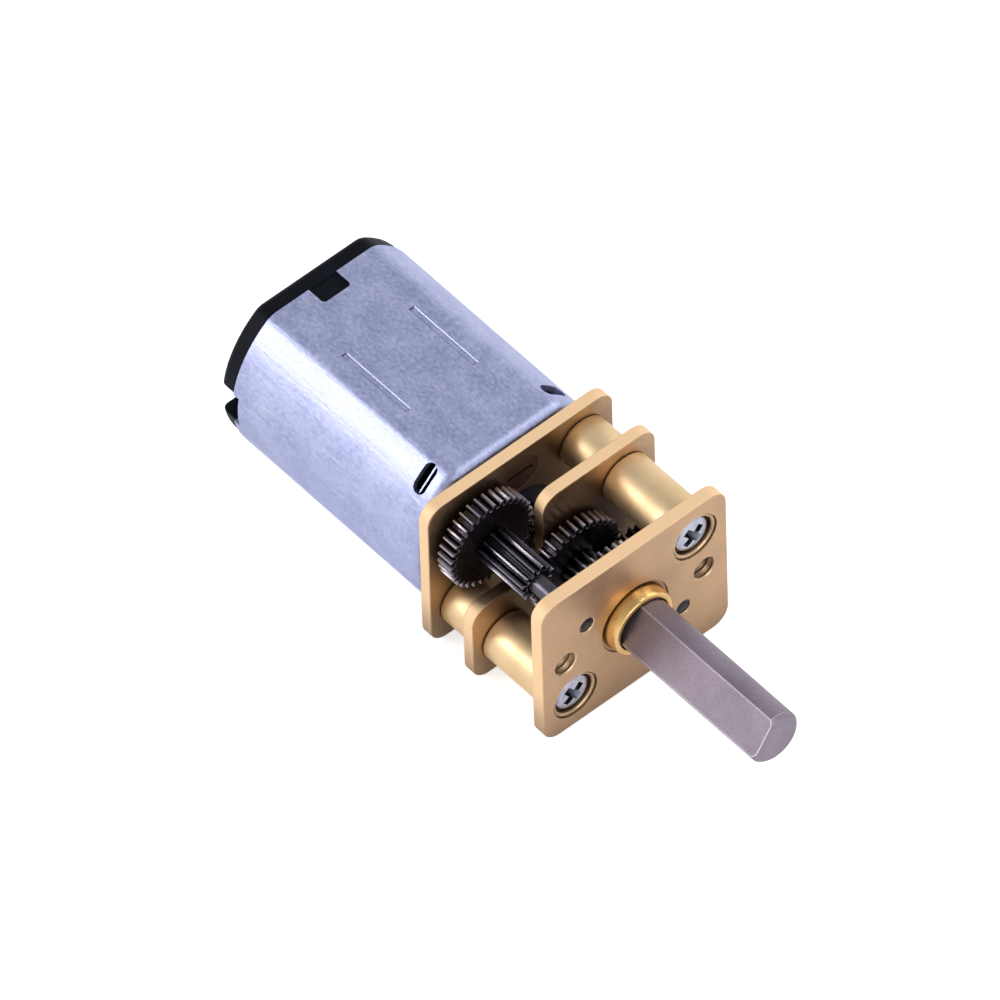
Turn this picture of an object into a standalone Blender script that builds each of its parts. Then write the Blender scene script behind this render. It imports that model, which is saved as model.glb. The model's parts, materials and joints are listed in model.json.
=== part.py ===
"""Miniature spur gearmotor: a flattened can motor driving an open four-stage gearbox.

Lengths are written in millimetres from the point where the output shaft's axis crosses the mounting
face of the front plate. The shaft points along -Y, +X is to the right as seen from the front, and +Z
is up. The finished pieces are in metres, moved so that the origin is the bottom centre of the whole
motor, which lies on its flat.
"""

import math

import bmesh
import bpy
from mathutils import Matrix, Vector
from mathutils.geometry import delaunay_2d_cdt

MM = 0.001
TAU = 2.0 * math.pi

# ---- driving dimensions, millimetres ----
PLATE_WIDTH = 12.0
PLATE_HEIGHT = 10.0
PLATE_CORNER = 1.0
FRONT_PLATE = (0.0, 0.8)
MIDDLE_PLATE = (5.25, 5.95)
REAR_PLATE = (8.4, 9.1)
CUT_AWAY_X = -1.3
CUT_AWAY_Z = 0.15

SPACER_POS = (3.95, 2.85)
SPACER_RADIUS = 1.45
SCREW_RADIUS = 0.78
SCREW_HEAD_RADIUS = 1.1
SCREW_HEAD_SINK = 0.12
SCREW_END = 0.15
CROSS_DEPTH = 0.24
CROSS_ARM = 0.62
CROSS_ANGLE = math.radians(40.0)
RECESS_RADIUS = 1.4
RECESS_DEPTH = 0.45
MOUNT_HOLE_X = 4.5
MOUNT_HOLE_RADIUS = 0.8

SHAFT_RADIUS = 1.5
SHAFT_TIP = -10.4
SHAFT_CHAMFER = 0.2
SHAFT_FLAT_DISTANCE = 1.0
SHAFT_FLAT_ANGLE = math.radians(145.0)
JOURNAL_RADIUS = 0.5
AXLE_RADIUS = 0.42
AXLE_NECK_RADIUS = 0.55
AXLE_END_GAP = 0.05
BUSH_LENGTH = 0.7
BUSH_RIM_RADIUS = 2.0
BUSH_BODY_RADIUS = 1.85
BUSH_EDGE = 0.08
BUSH_RECESS_RADIUS = 2.15
BUSH_RECESS_DEPTH = 0.1

MODULE = 0.15
PAIR_TEETH = 48
STAGE_ANGLE = math.radians(149.2)
PRESSURE_ANGLE = math.radians(20.0)
TOOTH_THINNING = 0.02
TOOTH_OVERLAP = 0.1
SEAT_STUB = 0.1
WASHER_RADIUS = 2.2
WASHER_BACK = 1.05
MOTOR_PINION_TEETH = 14
FIRST_PINION_TEETH = 12
SECOND_PINION_TEETH = 13
THIRD_PINION_TEETH = 10

FIRST_WHEEL = (7.0, 8.0)
SECOND_WHEEL = (4.2, 5.0)
THIRD_WHEEL = (3.05, 3.85)
OUTPUT_WHEEL = (1.2, 2.4)

MOTOR_RADIUS = 6.0
MOTOR_HALF_HEIGHT = 5.0
CAN_WALL = 0.35
CAN_FRONT = 9.12
CAN_REAR = 23.1
CAP_REAR = 24.2
TOP_NOTCH = (0.9, 1.15)
SIDE_NOTCH = (1.0, 0.4)
SIDE_NOTCH_DEPTH = 1.1
VENT_Y = 10.6
VENT_ANGLE = math.radians(131.0)
VENT_SIZE = (1.8, 0.76)
MOTOR_SHAFT_RADIUS = 0.5
MOTOR_SCREW_Z = 3.4
MOTOR_SCREW_RADIUS = 0.7
MOTOR_SCREW_HEAD_RADIUS = 1.1
MOTOR_SCREW_SINK = 0.4
MOTOR_SCREW_REACH = 1.0
CAN_BOSS_RADIUS = 1.95
CAN_BOSS_LENGTH = 0.6
CAN_BOSS_HOLE = 0.8
BEARING_RADIUS = 1.3
BEARING_SPAN = (8.8, 10.3)
REAR_BEARING_SPAN = (22.25, 23.9)
CAP_LIP = 20.8
CAP_FLOOR = 22.2
CAP_INSET = 0.12
CAP_BEVEL = 0.25
CAP_LIP_INSET = 1.1
CAP_SHAFT_HOLE = 0.65
CAP_BOSS_REAR = 25.0
TAB_DEPTH = 0.6
TAB_INSET = 0.15
TERMINAL_X = 3.9
TERMINAL_REAR = 25.0
TERMINAL_WIDTH = 1.5
TERMINAL_THICKNESS = 0.25
SOLDER_HOLE_RADIUS = 0.3
SOLDER_HOLE_Y = TERMINAL_REAR - 0.42
LEAF_THICKNESS = 0.12
MAGNET_SPAN = (11.3, 18.0)
MAGNET_HALF_ANGLE = math.radians(46.0)
ARMATURE_RADIUS = 3.95
AIR_GAP = 0.22
ARMATURE_HUB = 1.25
POLE_NECK = 0.6
POLE_SHOE = 3.25
COIL_RADII = (1.6, 2.85)
ARMATURE_SPAN = (11.7, 17.0)
COMMUTATOR_RADIUS = 1.3
COMMUTATOR_SPAN = (18.6, 21.2)
SEGMENT_THICKNESS = 0.3
SEGMENT_INSET = 0.2
SEGMENT_HALF_ANGLE = math.radians(56.0)
BRUSH_SPAN = (19.6, 20.5)
MOTOR_PINION_SPAN = (7.0, 8.2)
ROTOR_REAR = 24.8

CLEARANCE = 0.03
SEAT_GAP = 0.01
FACE_GAP = 0.02
HEAD_CLEARANCE = 0.08
PAST = 1.0

# ---- worked out from them ----
CENTRE_DISTANCE = MODULE * PAIR_TEETH / 2.0
AXIS_CENTRE = (0.0, 0.0)
AXIS_FIRST = (CENTRE_DISTANCE * math.cos(STAGE_ANGLE), CENTRE_DISTANCE * math.sin(STAGE_ANGLE))
AXIS_THIRD = (-AXIS_FIRST[0], -AXIS_FIRST[1])
SPACER_AXES = {"upper": SPACER_POS, "lower": (-SPACER_POS[0], -SPACER_POS[1])}
FIRST_WHEEL_TEETH = PAIR_TEETH - MOTOR_PINION_TEETH
SECOND_WHEEL_TEETH = PAIR_TEETH - FIRST_PINION_TEETH
THIRD_WHEEL_TEETH = PAIR_TEETH - SECOND_PINION_TEETH
OUTPUT_WHEEL_TEETH = PAIR_TEETH - THIRD_PINION_TEETH
CAN_INSIDE = MOTOR_RADIUS - CAN_WALL
ORIGIN_Y = (SHAFT_TIP + CAP_BOSS_REAR) / 2.0


# ---- scene, materials and groups ----

def clear_scene():
    for obj in list(bpy.data.objects):
        bpy.data.objects.remove(obj, do_unlink=True)


def make_material(name, colour, roughness, metallic):
    material = bpy.data.materials.new(name)
    material.use_nodes = True
    shader = material.node_tree.nodes["Principled BSDF"]
    shader.inputs["Base Color"].default_value = (*colour, 1.0)
    shader.inputs["Roughness"].default_value = roughness
    shader.inputs["Metallic"].default_value = metallic
    return material


def make_materials():
    return {
        "brass": make_material("brass", (0.60, 0.37, 0.15), 0.32, 1.0),
        "gear_steel": make_material("gear_steel", (0.045, 0.045, 0.055), 0.28, 1.0),
        "bright_steel": make_material("bright_steel", (0.52, 0.50, 0.55), 0.25, 1.0),
        "shaft_steel": make_material("shaft_steel", (0.32, 0.27, 0.31), 0.42, 1.0),
        "screw_steel": make_material("screw_steel", (0.62, 0.63, 0.66), 0.25, 1.0),
        "zinc_can": make_material("zinc_can", (0.45, 0.47, 0.66), 0.38, 1.0),
        "black_plastic": make_material("black_plastic", (0.012, 0.012, 0.02), 0.45, 0.0),
        "magnet": make_material("magnet", (0.06, 0.06, 0.065), 0.7, 0.0),
        "copper": make_material("copper", (0.70, 0.28, 0.12), 0.3, 1.0),
        "laminations": make_material("laminations", (0.30, 0.31, 0.33), 0.45, 1.0),
        "bronze": make_material("bronze", (0.45, 0.25, 0.12), 0.5, 1.0),
        "spring_steel": make_material("spring_steel", (0.55, 0.55, 0.58), 0.3, 1.0),
    }


def place(axis):
    """The location, in metres, of a piece that is modelled about an axis given as (x, z)."""
    return (axis[0] * MM, -ORIGIN_Y * MM, (axis[1] + MOTOR_HALF_HEIGHT) * MM)


def make_axis(name, axis):
    """An empty on a shaft's axis, which the pieces that turn about it are parented to."""
    empty = bpy.data.objects.new(name, None)
    empty.location = place(axis)
    bpy.context.collection.objects.link(empty)
    return empty


def finish_part(bm, name, material, group=None, centre=AXIS_CENTRE, smooth_angle=32.0):
    """Turns a mesh in millimetres into a named object whose origin lies on its own axis."""
    bmesh.ops.recalc_face_normals(bm, faces=bm.faces)
    bmesh.ops.transform(bm, matrix=Matrix.Scale(MM, 4), verts=bm.verts)
    mesh = bpy.data.meshes.new(name)
    bm.to_mesh(mesh)
    bm.free()
    mesh.shade_smooth()
    mesh.set_sharp_from_angle(angle=math.radians(smooth_angle))
    mesh.materials.append(material)
    obj = bpy.data.objects.new(name, mesh)
    bpy.context.collection.objects.link(obj)
    if group:
        obj.parent = group
    else:
        obj.location = place(centre)
    return obj


def triangulate(mesh):
    bm = bmesh.new()
    bm.from_mesh(mesh)
    bmesh.ops.triangulate(bm, faces=bm.faces)
    bm.to_mesh(mesh)
    bm.free()


def combine(target, tool_mesh, operation, centre=None):
    """Cuts a tool mesh from an object, or joins it on, and leaves the exact result in the object.

    Both meshes are triangles first, because a hole in a many-sided face can leave doubled edges.
    """
    bpy.context.view_layer.update()
    tool = finish_part(tool_mesh, target.name + "_tool", target.data.materials[0])
    triangulate(tool.data)
    triangulate(target.data)
    tool.location = place(centre) if centre else target.matrix_world.translation
    tool.hide_render = True
    tool.display_type = "WIRE"
    modifier = target.modifiers.new("boolean", "BOOLEAN")
    modifier.operation = operation
    modifier.solver = "EXACT"
    modifier.object = tool
    bpy.context.view_layer.update()
    result = bpy.data.meshes.new_from_object(target.evaluated_get(bpy.context.evaluated_depsgraph_get()))
    target.modifiers.clear()
    old_mesh = target.data
    target.data = result
    bpy.data.meshes.remove(old_mesh)
    bpy.data.objects.remove(tool, do_unlink=True)


def cut(target, tool_mesh, centre=None):
    combine(target, tool_mesh, "DIFFERENCE", centre)


def join(target, tool_mesh):
    combine(target, tool_mesh, "UNION")


# ---- outlines in the XZ plane ----

def arc(radius, start, end, steps, centre=(0.0, 0.0)):
    return [(centre[0] + radius * math.cos(start + (end - start) * i / steps),
             centre[1] + radius * math.sin(start + (end - start) * i / steps))
            for i in range(steps + 1)]


def circle(radius, centre=(0.0, 0.0), steps=20):
    return arc(radius, 0.0, TAU * (steps - 1) / steps, steps - 1, centre)


def rectangle(x_low, x_high, z_low, z_high):
    return [(x_low, z_low), (x_high, z_low), (x_high, z_high), (x_low, z_high)]


def rounded_rectangle(x_low, x_high, z_low, z_high, radius, steps=5):
    corners = [(x_high - radius, z_high - radius), (x_low + radius, z_high - radius),
               (x_low + radius, z_low + radius), (x_high - radius, z_low + radius)]
    points = []
    for quarter, corner in enumerate(corners):
        start = quarter * math.pi / 2.0
        points += arc(radius, start, start + math.pi / 2.0, steps, corner)
    return points


def cross_outline(arm, half_width):
    points = []
    for quarter in range(4):
        along = Vector((math.cos(quarter * math.pi / 2.0), math.sin(quarter * math.pi / 2.0)))
        across = Vector((-along.y, along.x)) * half_width
        points += [along * arm - across, along * arm + across, along * half_width + across]
    return points


def strip_outline(path, thickness):
    """A strip of even thickness along a path."""
    centre = [Vector(point) for point in path]
    sides = []
    for i, point in enumerate(centre):
        before = (point - centre[i - 1]).normalized() if i > 0 else None
        after = (centre[i + 1] - point).normalized() if i + 1 < len(centre) else None
        run = (before + after).normalized() if before and after else before or after
        stretch = 1.0 / run.dot(after or before)
        sides.append(Vector((-run.y, run.x)) * stretch * thickness / 2.0)
    left = [point + side for point, side in zip(centre, sides)]
    right = [point - side for point, side in zip(centre, sides)]
    return left + right[::-1]


def sector(inner, outer, middle, half_angle, steps=8):
    """A ring segment."""
    return (arc(outer, middle - half_angle, middle + half_angle, steps)
            + arc(inner, middle + half_angle, middle - half_angle, steps))


def plate_outline():
    return rounded_rectangle(-PLATE_WIDTH / 2, PLATE_WIDTH / 2, -PLATE_HEIGHT / 2, PLATE_HEIGHT / 2,
                             PLATE_CORNER)


def cut_plate_outline():
    """The plate without its upper left corner, which leaves room for the first wheel's pinion."""
    left, right, low, high = -PLATE_WIDTH / 2, PLATE_WIDTH / 2, -PLATE_HEIGHT / 2, PLATE_HEIGHT / 2
    r = PLATE_CORNER
    quarter = math.pi / 2.0
    points = arc(r, 0.0, quarter, 5, (right - r, high - r))
    points += arc(r, quarter, 2 * quarter, 5, (CUT_AWAY_X + r, high - r))
    points += [(CUT_AWAY_X, CUT_AWAY_Z)]
    points += arc(r, quarter, 2 * quarter, 5, (left + r, CUT_AWAY_Z - r))
    points += arc(r, 2 * quarter, 3 * quarter, 5, (left + r, low + r))
    points += arc(r, 3 * quarter, 4 * quarter, 5, (right - r, low + r))
    return points


def motor_outline(radius, half_height, steps=12):
    """A circle with its top and bottom cut to flats."""
    edge = math.asin(half_height / radius)
    return arc(radius, -edge, edge, steps) + arc(radius, math.pi - edge, math.pi + edge, steps)


def involute_angle(radius, base):
    if radius <= base:
        return 0.0
    pressure = math.acos(base / radius)
    return math.tan(pressure) - pressure


def gear_outline(teeth, phase):
    """Involute teeth from root to tip, with one tooth centred on the phase angle."""
    pitch = MODULE * teeth / 2.0
    base = pitch * math.cos(PRESSURE_ANGLE)
    root = pitch - 1.25 * MODULE
    flank = [root, pitch, pitch + MODULE]
    if base > root + 0.2 * MODULE:
        flank.insert(1, base)
    half_tooth = (math.pi * MODULE / 2.0 - TOOTH_THINNING) / 2.0 / pitch + involute_angle(pitch, base)
    points = []
    for tooth in range(teeth):
        middle = phase + TAU * tooth / teeth
        side = [(r, half_tooth - involute_angle(r, base)) for r in flank]
        points += [(r * math.cos(middle - a), r * math.sin(middle - a)) for r, a in side]
        points += [(r * math.cos(middle + a), r * math.sin(middle + a)) for r, a in reversed(side)]
    return points


def meshing_phase(driver_teeth, driver_phase, driver_axis, teeth, axis):
    """The phase that puts a gear's gap where the driver's tooth crosses the line of centres."""
    line = math.atan2(axis[1] - driver_axis[1], axis[0] - driver_axis[0])
    driver_fraction = (line - driver_phase) * driver_teeth / TAU
    return line + math.pi - (0.5 - driver_fraction) * TAU / teeth


# ---- solids ----

def prism(outline, y_low, y_high, holes=()):
    """A flat sheet with holes, extruded along Y."""
    points, rings = [], []
    for loop in (outline, *holes):
        rings.append(list(range(len(points), len(points) + len(loop))))
        points += [Vector(point) for point in loop]
    inside_without_holes = 2
    flat_points, _, faces, _, _, _ = delaunay_2d_cdt(points, [], rings, inside_without_holes, 1e-6)
    bm = bmesh.new()
    verts = [bm.verts.new((p[0], y_low, p[1])) for p in flat_points]
    for face in faces:
        bm.faces.new([verts[i] for i in face])
    extruded = bmesh.ops.extrude_face_region(bm, geom=bm.faces[:])["geom"]
    moved = [item for item in extruded if isinstance(item, bmesh.types.BMVert)]
    bmesh.ops.translate(bm, verts=moved, vec=(0.0, y_high - y_low, 0.0))
    return bm


def loft(sections):
    """Joins outlines of equal length, each at its own y, and closes both ends."""
    bm = bmesh.new()
    rings = [[bm.verts.new((x, y, z)) for x, z in outline] for y, outline in sections]
    for ring, following in zip(rings, rings[1:]):
        for i in range(len(ring)):
            j = (i + 1) % len(ring)
            bm.faces.new((ring[i], ring[j], following[j], following[i]))
    bm.faces.new(rings[0])
    bm.faces.new(rings[-1])
    return bm


def lathe(profile, steps=20, hollow=False):
    """Turns a profile of (y, radius) points about the Y axis; a hollow profile closes on itself."""
    bm = bmesh.new()
    rings = []
    for y, radius in profile:
        if radius == 0.0:
            rings.append([bm.verts.new((0.0, y, 0.0))])
        else:
            rings.append([bm.verts.new((x, y, z)) for x, z in circle(radius, steps=steps)])
    pairs = list(zip(rings, rings[1:]))
    if hollow:
        pairs.append((rings[-1], rings[0]))
    for ring, following in pairs:
        for i in range(steps):
            j = (i + 1) % steps
            if len(ring) == 1:
                bm.faces.new((ring[0], following[j], following[i]))
            elif len(following) == 1:
                bm.faces.new((ring[i], ring[j], following[0]))
            else:
                bm.faces.new((ring[i], ring[j], following[j], following[i]))
    return bm


def tube(inner, outer, y_low, y_high, steps=20):
    return lathe([(y_low, inner), (y_high, inner), (y_high, outer), (y_low, outer)], steps, hollow=True)


def box(x_low, x_high, y_low, y_high, z_low, z_high):
    return prism(rectangle(x_low, x_high, z_low, z_high), y_low, y_high)


def turned(bm, angle):
    bmesh.ops.rotate(bm, verts=bm.verts, cent=(0.0, 0.0, 0.0), matrix=Matrix.Rotation(-angle, 3, "Y"))
    return bm


# ---- gearbox frame ----

def make_front_plate(materials):
    holes = [circle(MOUNT_HOLE_RADIUS, (side * MOUNT_HOLE_X, 0.0)) for side in (1, -1)]
    holes += [circle(SCREW_RADIUS + CLEARANCE, axis) for axis in SPACER_AXES.values()]
    holes += [circle(BUSH_BODY_RADIUS + SEAT_GAP, steps=28)]
    holes += [circle(AXLE_RADIUS + CLEARANCE, axis, 16) for axis in (AXIS_FIRST, AXIS_THIRD)]
    plate = finish_part(prism(plate_outline(), *FRONT_PLATE, holes), "front_plate", materials["brass"])
    step = RECESS_DEPTH / 3.0
    head = SCREW_HEAD_RADIUS + HEAD_CLEARANCE
    recess = [(-PAST, 0.0), (-PAST, RECESS_RADIUS), (0.0, RECESS_RADIUS), (step, head),
              (RECESS_DEPTH, head), (RECESS_DEPTH, 0.0)]
    for axis in SPACER_AXES.values():
        cut(plate, lathe(recess), axis)
    cut(plate, prism(circle(BUSH_RECESS_RADIUS, steps=28), -PAST, BUSH_RECESS_DEPTH))
    return plate


def make_middle_plate(materials):
    holes = [circle(SCREW_RADIUS + CLEARANCE, axis) for axis in SPACER_AXES.values()]
    holes += [circle(JOURNAL_RADIUS + CLEARANCE, steps=16)]
    holes += [circle(AXLE_RADIUS + CLEARANCE, AXIS_THIRD, 16)]
    return finish_part(prism(cut_plate_outline(), *MIDDLE_PLATE, holes), "middle_plate",
                       materials["brass"])


def make_rear_plate(materials):
    holes = [circle(SCREW_RADIUS + SEAT_GAP, axis) for axis in SPACER_AXES.values()]
    holes += [circle(CAN_BOSS_RADIUS + CLEARANCE, steps=28)]
    holes += [circle(AXLE_RADIUS + CLEARANCE, AXIS_FIRST, 16)]
    holes += [circle(MOTOR_SCREW_RADIUS + CLEARANCE, (0.0, side * MOTOR_SCREW_Z), 16) for side in (1, -1)]
    plate = finish_part(prism(plate_outline(), *REAR_PLATE, holes), "rear_plate", materials["brass"])
    front = REAR_PLATE[0]
    bottom = front + MOTOR_SCREW_SINK
    head = MOTOR_SCREW_HEAD_RADIUS + CLEARANCE
    countersink = [(front - PAST, 0.0), (front - PAST, head), (front, head),
                   (bottom, MOTOR_SCREW_RADIUS + CLEARANCE / 2), (bottom, 0.0)]
    for side in (1, -1):
        cut(plate, lathe(countersink), (0.0, side * MOTOR_SCREW_Z))
    return plate


def make_spacer(name, y_low, y_high, axis, materials):
    sleeve = tube(SCREW_RADIUS + CLEARANCE, SPACER_RADIUS, y_low + FACE_GAP, y_high - FACE_GAP)
    return finish_part(sleeve, name, materials["brass"], centre=axis)


def phillips_cross(y_face):
    """A cross-shaped tool that narrows towards its point."""
    wide = cross_outline(CROSS_ARM * 1.15, CROSS_ARM * 0.25)
    narrow = cross_outline(CROSS_ARM * 0.45, CROSS_ARM * 0.16)
    return loft([(y_face - CROSS_DEPTH, wide), (y_face + CROSS_DEPTH, narrow)])


def make_gearbox_screw(name, axis, materials):
    """A long pan-head screw that clamps the three plates and their spacers together."""
    face = SCREW_HEAD_SINK
    dome = 0.12
    seat = RECESS_DEPTH - FACE_GAP
    end = REAR_PLATE[1] - AXLE_END_GAP
    profile = [(face, 0.0), (face, SCREW_HEAD_RADIUS * 0.72), (face + dome, SCREW_HEAD_RADIUS),
               (seat, SCREW_HEAD_RADIUS), (seat, SCREW_RADIUS), (end - SCREW_END, SCREW_RADIUS),
               (end, SCREW_RADIUS - SCREW_END), (end, 0.0)]
    screw = finish_part(lathe(profile), name, materials["screw_steel"], centre=axis)
    cut(screw, turned(phillips_cross(face), CROSS_ANGLE))
    return screw


def make_motor_screw(name, z, materials):
    """A short countersunk screw that holds the rear plate to the motor."""
    front = REAR_PLATE[0] + FACE_GAP
    end = CAN_FRONT + MOTOR_SCREW_REACH
    slot_length, slot_width, slot_depth = 1.6, 0.22, 0.18
    profile = [(front, 0.0), (front, MOTOR_SCREW_HEAD_RADIUS),
               (REAR_PLATE[0] + MOTOR_SCREW_SINK - FACE_GAP / 2, MOTOR_SCREW_RADIUS),
               (end, MOTOR_SCREW_RADIUS), (end, 0.0)]
    screw = finish_part(lathe(profile), name, materials["screw_steel"], centre=(0.0, z))
    cut(screw, box(-slot_length / 2, slot_length / 2, front - slot_depth, front + slot_depth,
                   -slot_width / 2, slot_width / 2))
    return screw


def make_output_bush(materials):
    """The shaft's bush, whose rim sits in a shallow recess in the plate and stands proud of its face."""
    bore = SHAFT_RADIUS + CLEARANCE
    front, rim_back, back = -BUSH_LENGTH, BUSH_RECESS_DEPTH - FACE_GAP, FRONT_PLATE[1]
    profile = [(back, bore), (front, bore), (front, BUSH_RIM_RADIUS - BUSH_EDGE),
               (front + BUSH_EDGE, BUSH_RIM_RADIUS), (rim_back, BUSH_RIM_RADIUS),
               (rim_back, BUSH_BODY_RADIUS), (back, BUSH_BODY_RADIUS)]
    return finish_part(lathe(profile, 28, hollow=True), "output_bush", materials["brass"])


# ---- gear train ----

def gear_phases():
    """Turns each pinion so that its teeth are in mesh with the wheel it meets."""
    wheels_first = [
        ("third_pinion", OUTPUT_WHEEL_TEETH, AXIS_CENTRE, THIRD_PINION_TEETH, AXIS_THIRD),
        ("second_pinion", THIRD_WHEEL_TEETH, AXIS_THIRD, SECOND_PINION_TEETH, AXIS_CENTRE),
        ("first_pinion", SECOND_WHEEL_TEETH, AXIS_CENTRE, FIRST_PINION_TEETH, AXIS_FIRST),
        ("motor_pinion", FIRST_WHEEL_TEETH, AXIS_FIRST, MOTOR_PINION_TEETH, AXIS_CENTRE),
    ]
    return {name: meshing_phase(wheel_teeth, 0.0, wheel_axis, teeth, axis)
            for name, wheel_teeth, wheel_axis, teeth, axis in wheels_first}


def make_wheel(name, teeth, span, bore, group, materials):
    wheel = prism(gear_outline(teeth, 0.0), *span, [circle(bore + SEAT_GAP, steps=20)])
    return finish_part(wheel, name, materials["gear_steel"], group)


def make_toothed_shaft(name, teeth, phase, tooth_span, profile, group, materials):
    """A turned shaft with pinion teeth cut on one stretch of it."""
    shaft = finish_part(lathe(profile, 16), name, materials["bright_steel"], group)
    join(shaft, prism(gear_outline(teeth, phase), *tooth_span))
    return shaft


def make_first_stage(phases, materials):
    group = make_axis("first_stage_axis", AXIS_FIRST)
    seat = 0.68
    make_wheel("first_wheel", FIRST_WHEEL_TEETH, FIRST_WHEEL, seat, group, materials)
    teeth = (SECOND_WHEEL[0] - 0.6, FIRST_WHEEL[0] - 0.15)
    neck_start = FRONT_PLATE[1] + 0.15
    seat_start, seat_end = teeth[0] + TOOTH_OVERLAP, FIRST_WHEEL[1] + SEAT_STUB
    front, back = AXLE_END_GAP, REAR_PLATE[1] - 2 * AXLE_END_GAP
    profile = [(front, 0.0), (front, AXLE_RADIUS), (neck_start, AXLE_RADIUS), (neck_start, AXLE_NECK_RADIUS),
               (seat_start, AXLE_NECK_RADIUS), (seat_start, seat), (seat_end, seat),
               (seat_end, AXLE_RADIUS), (back, AXLE_RADIUS), (back, 0.0)]
    make_toothed_shaft("first_pinion_shaft", FIRST_PINION_TEETH, phases["first_pinion"], teeth, profile,
                       group, materials)


def make_second_stage(phases, materials):
    """A wheel and pinion that turn freely on the rear journal of the output shaft."""
    group = make_axis("second_stage_axis", AXIS_CENTRE)
    seat = 0.75
    make_wheel("second_wheel", SECOND_WHEEL_TEETH, SECOND_WHEEL, seat, group, materials)
    teeth = (THIRD_WHEEL[0] - 0.15, SECOND_WHEEL[0] - 0.05)
    seat_start, seat_end = teeth[0] + TOOTH_OVERLAP, SECOND_WHEEL[1] + SEAT_STUB
    profile = [(seat_start, 0.0), (seat_start, seat), (seat_end, seat), (seat_end, 0.0)]
    pinion = make_toothed_shaft("second_pinion", SECOND_PINION_TEETH, phases["second_pinion"], teeth,
                                profile, group, materials)
    cut(pinion, prism(circle(JOURNAL_RADIUS + CLEARANCE, steps=16), teeth[0] - PAST, seat_end + PAST))


def make_third_stage(phases, materials):
    group = make_axis("third_stage_axis", AXIS_THIRD)
    seat = 0.5
    make_wheel("third_wheel", THIRD_WHEEL_TEETH, THIRD_WHEEL, seat, group, materials)
    teeth = (FRONT_PLATE[1] + 0.2, THIRD_WHEEL[0] - 0.03)
    seat_start, seat_end = teeth[0] + TOOTH_OVERLAP, THIRD_WHEEL[1] + SEAT_STUB
    front, back = AXLE_END_GAP, MIDDLE_PLATE[1] - AXLE_END_GAP
    profile = [(front, 0.0), (front, AXLE_RADIUS), (seat_start, AXLE_RADIUS), (seat_start, seat),
               (seat_end, seat), (seat_end, AXLE_RADIUS), (back, AXLE_RADIUS), (back, 0.0)]
    make_toothed_shaft("third_pinion_shaft", THIRD_PINION_TEETH, phases["third_pinion"], teeth, profile,
                       group, materials)


def make_output_stage(materials):
    group = make_axis("output_axis", AXIS_CENTRE)
    seat, collar = 1.0, 0.72
    make_wheel("output_wheel", OUTPUT_WHEEL_TEETH, OUTPUT_WHEEL, seat, group, materials)
    shoulder = OUTPUT_WHEEL[0] - FACE_GAP
    collar_end, back = OUTPUT_WHEEL[1] + 0.45, MIDDLE_PLATE[1] - AXLE_END_GAP
    profile = [(SHAFT_TIP, 0.0), (SHAFT_TIP, SHAFT_RADIUS - SHAFT_CHAMFER),
               (SHAFT_TIP + SHAFT_CHAMFER, SHAFT_RADIUS), (shoulder, SHAFT_RADIUS), (shoulder, seat),
               (OUTPUT_WHEEL[1], seat), (OUTPUT_WHEEL[1], collar), (collar_end, collar),
               (collar_end, JOURNAL_RADIUS), (back, JOURNAL_RADIUS), (back, 0.0)]
    shaft = finish_part(lathe(profile, 28), "output_shaft", materials["shaft_steel"], group)
    flat = rectangle(SHAFT_FLAT_DISTANCE, 2 * SHAFT_RADIUS, -2 * SHAFT_RADIUS, 2 * SHAFT_RADIUS)
    flat_end = -BUSH_LENGTH - FACE_GAP
    cut(shaft, turned(prism(flat, SHAFT_TIP - PAST, flat_end), SHAFT_FLAT_ANGLE))
    washer = tube(SHAFT_RADIUS + CLEARANCE, WASHER_RADIUS, FRONT_PLATE[1] + CLEARANCE, WASHER_BACK, 28)
    finish_part(washer, "thrust_washer", materials["bronze"], group)


# ---- motor ----

def motor_section(inset):
    return motor_outline(MOTOR_RADIUS - inset, MOTOR_HALF_HEIGHT - inset)


def radial_prism(outline, inner, outer, angle, y_centre, holes=()):
    """A prism whose outline lies along the can's skin, pushed out along a radius."""
    bm = prism(outline, inner, outer, holes)
    along_skin = Vector((-math.sin(angle), 0.0, math.cos(angle)))
    outwards = Vector((math.cos(angle), 0.0, math.sin(angle)))
    placed = Matrix((along_skin, outwards, Vector((0.0, 1.0, 0.0)))).transposed().to_4x4()
    placed.translation = Vector((0.0, y_centre, 0.0))
    bmesh.ops.transform(bm, matrix=placed, verts=bm.verts)
    return bm


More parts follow.
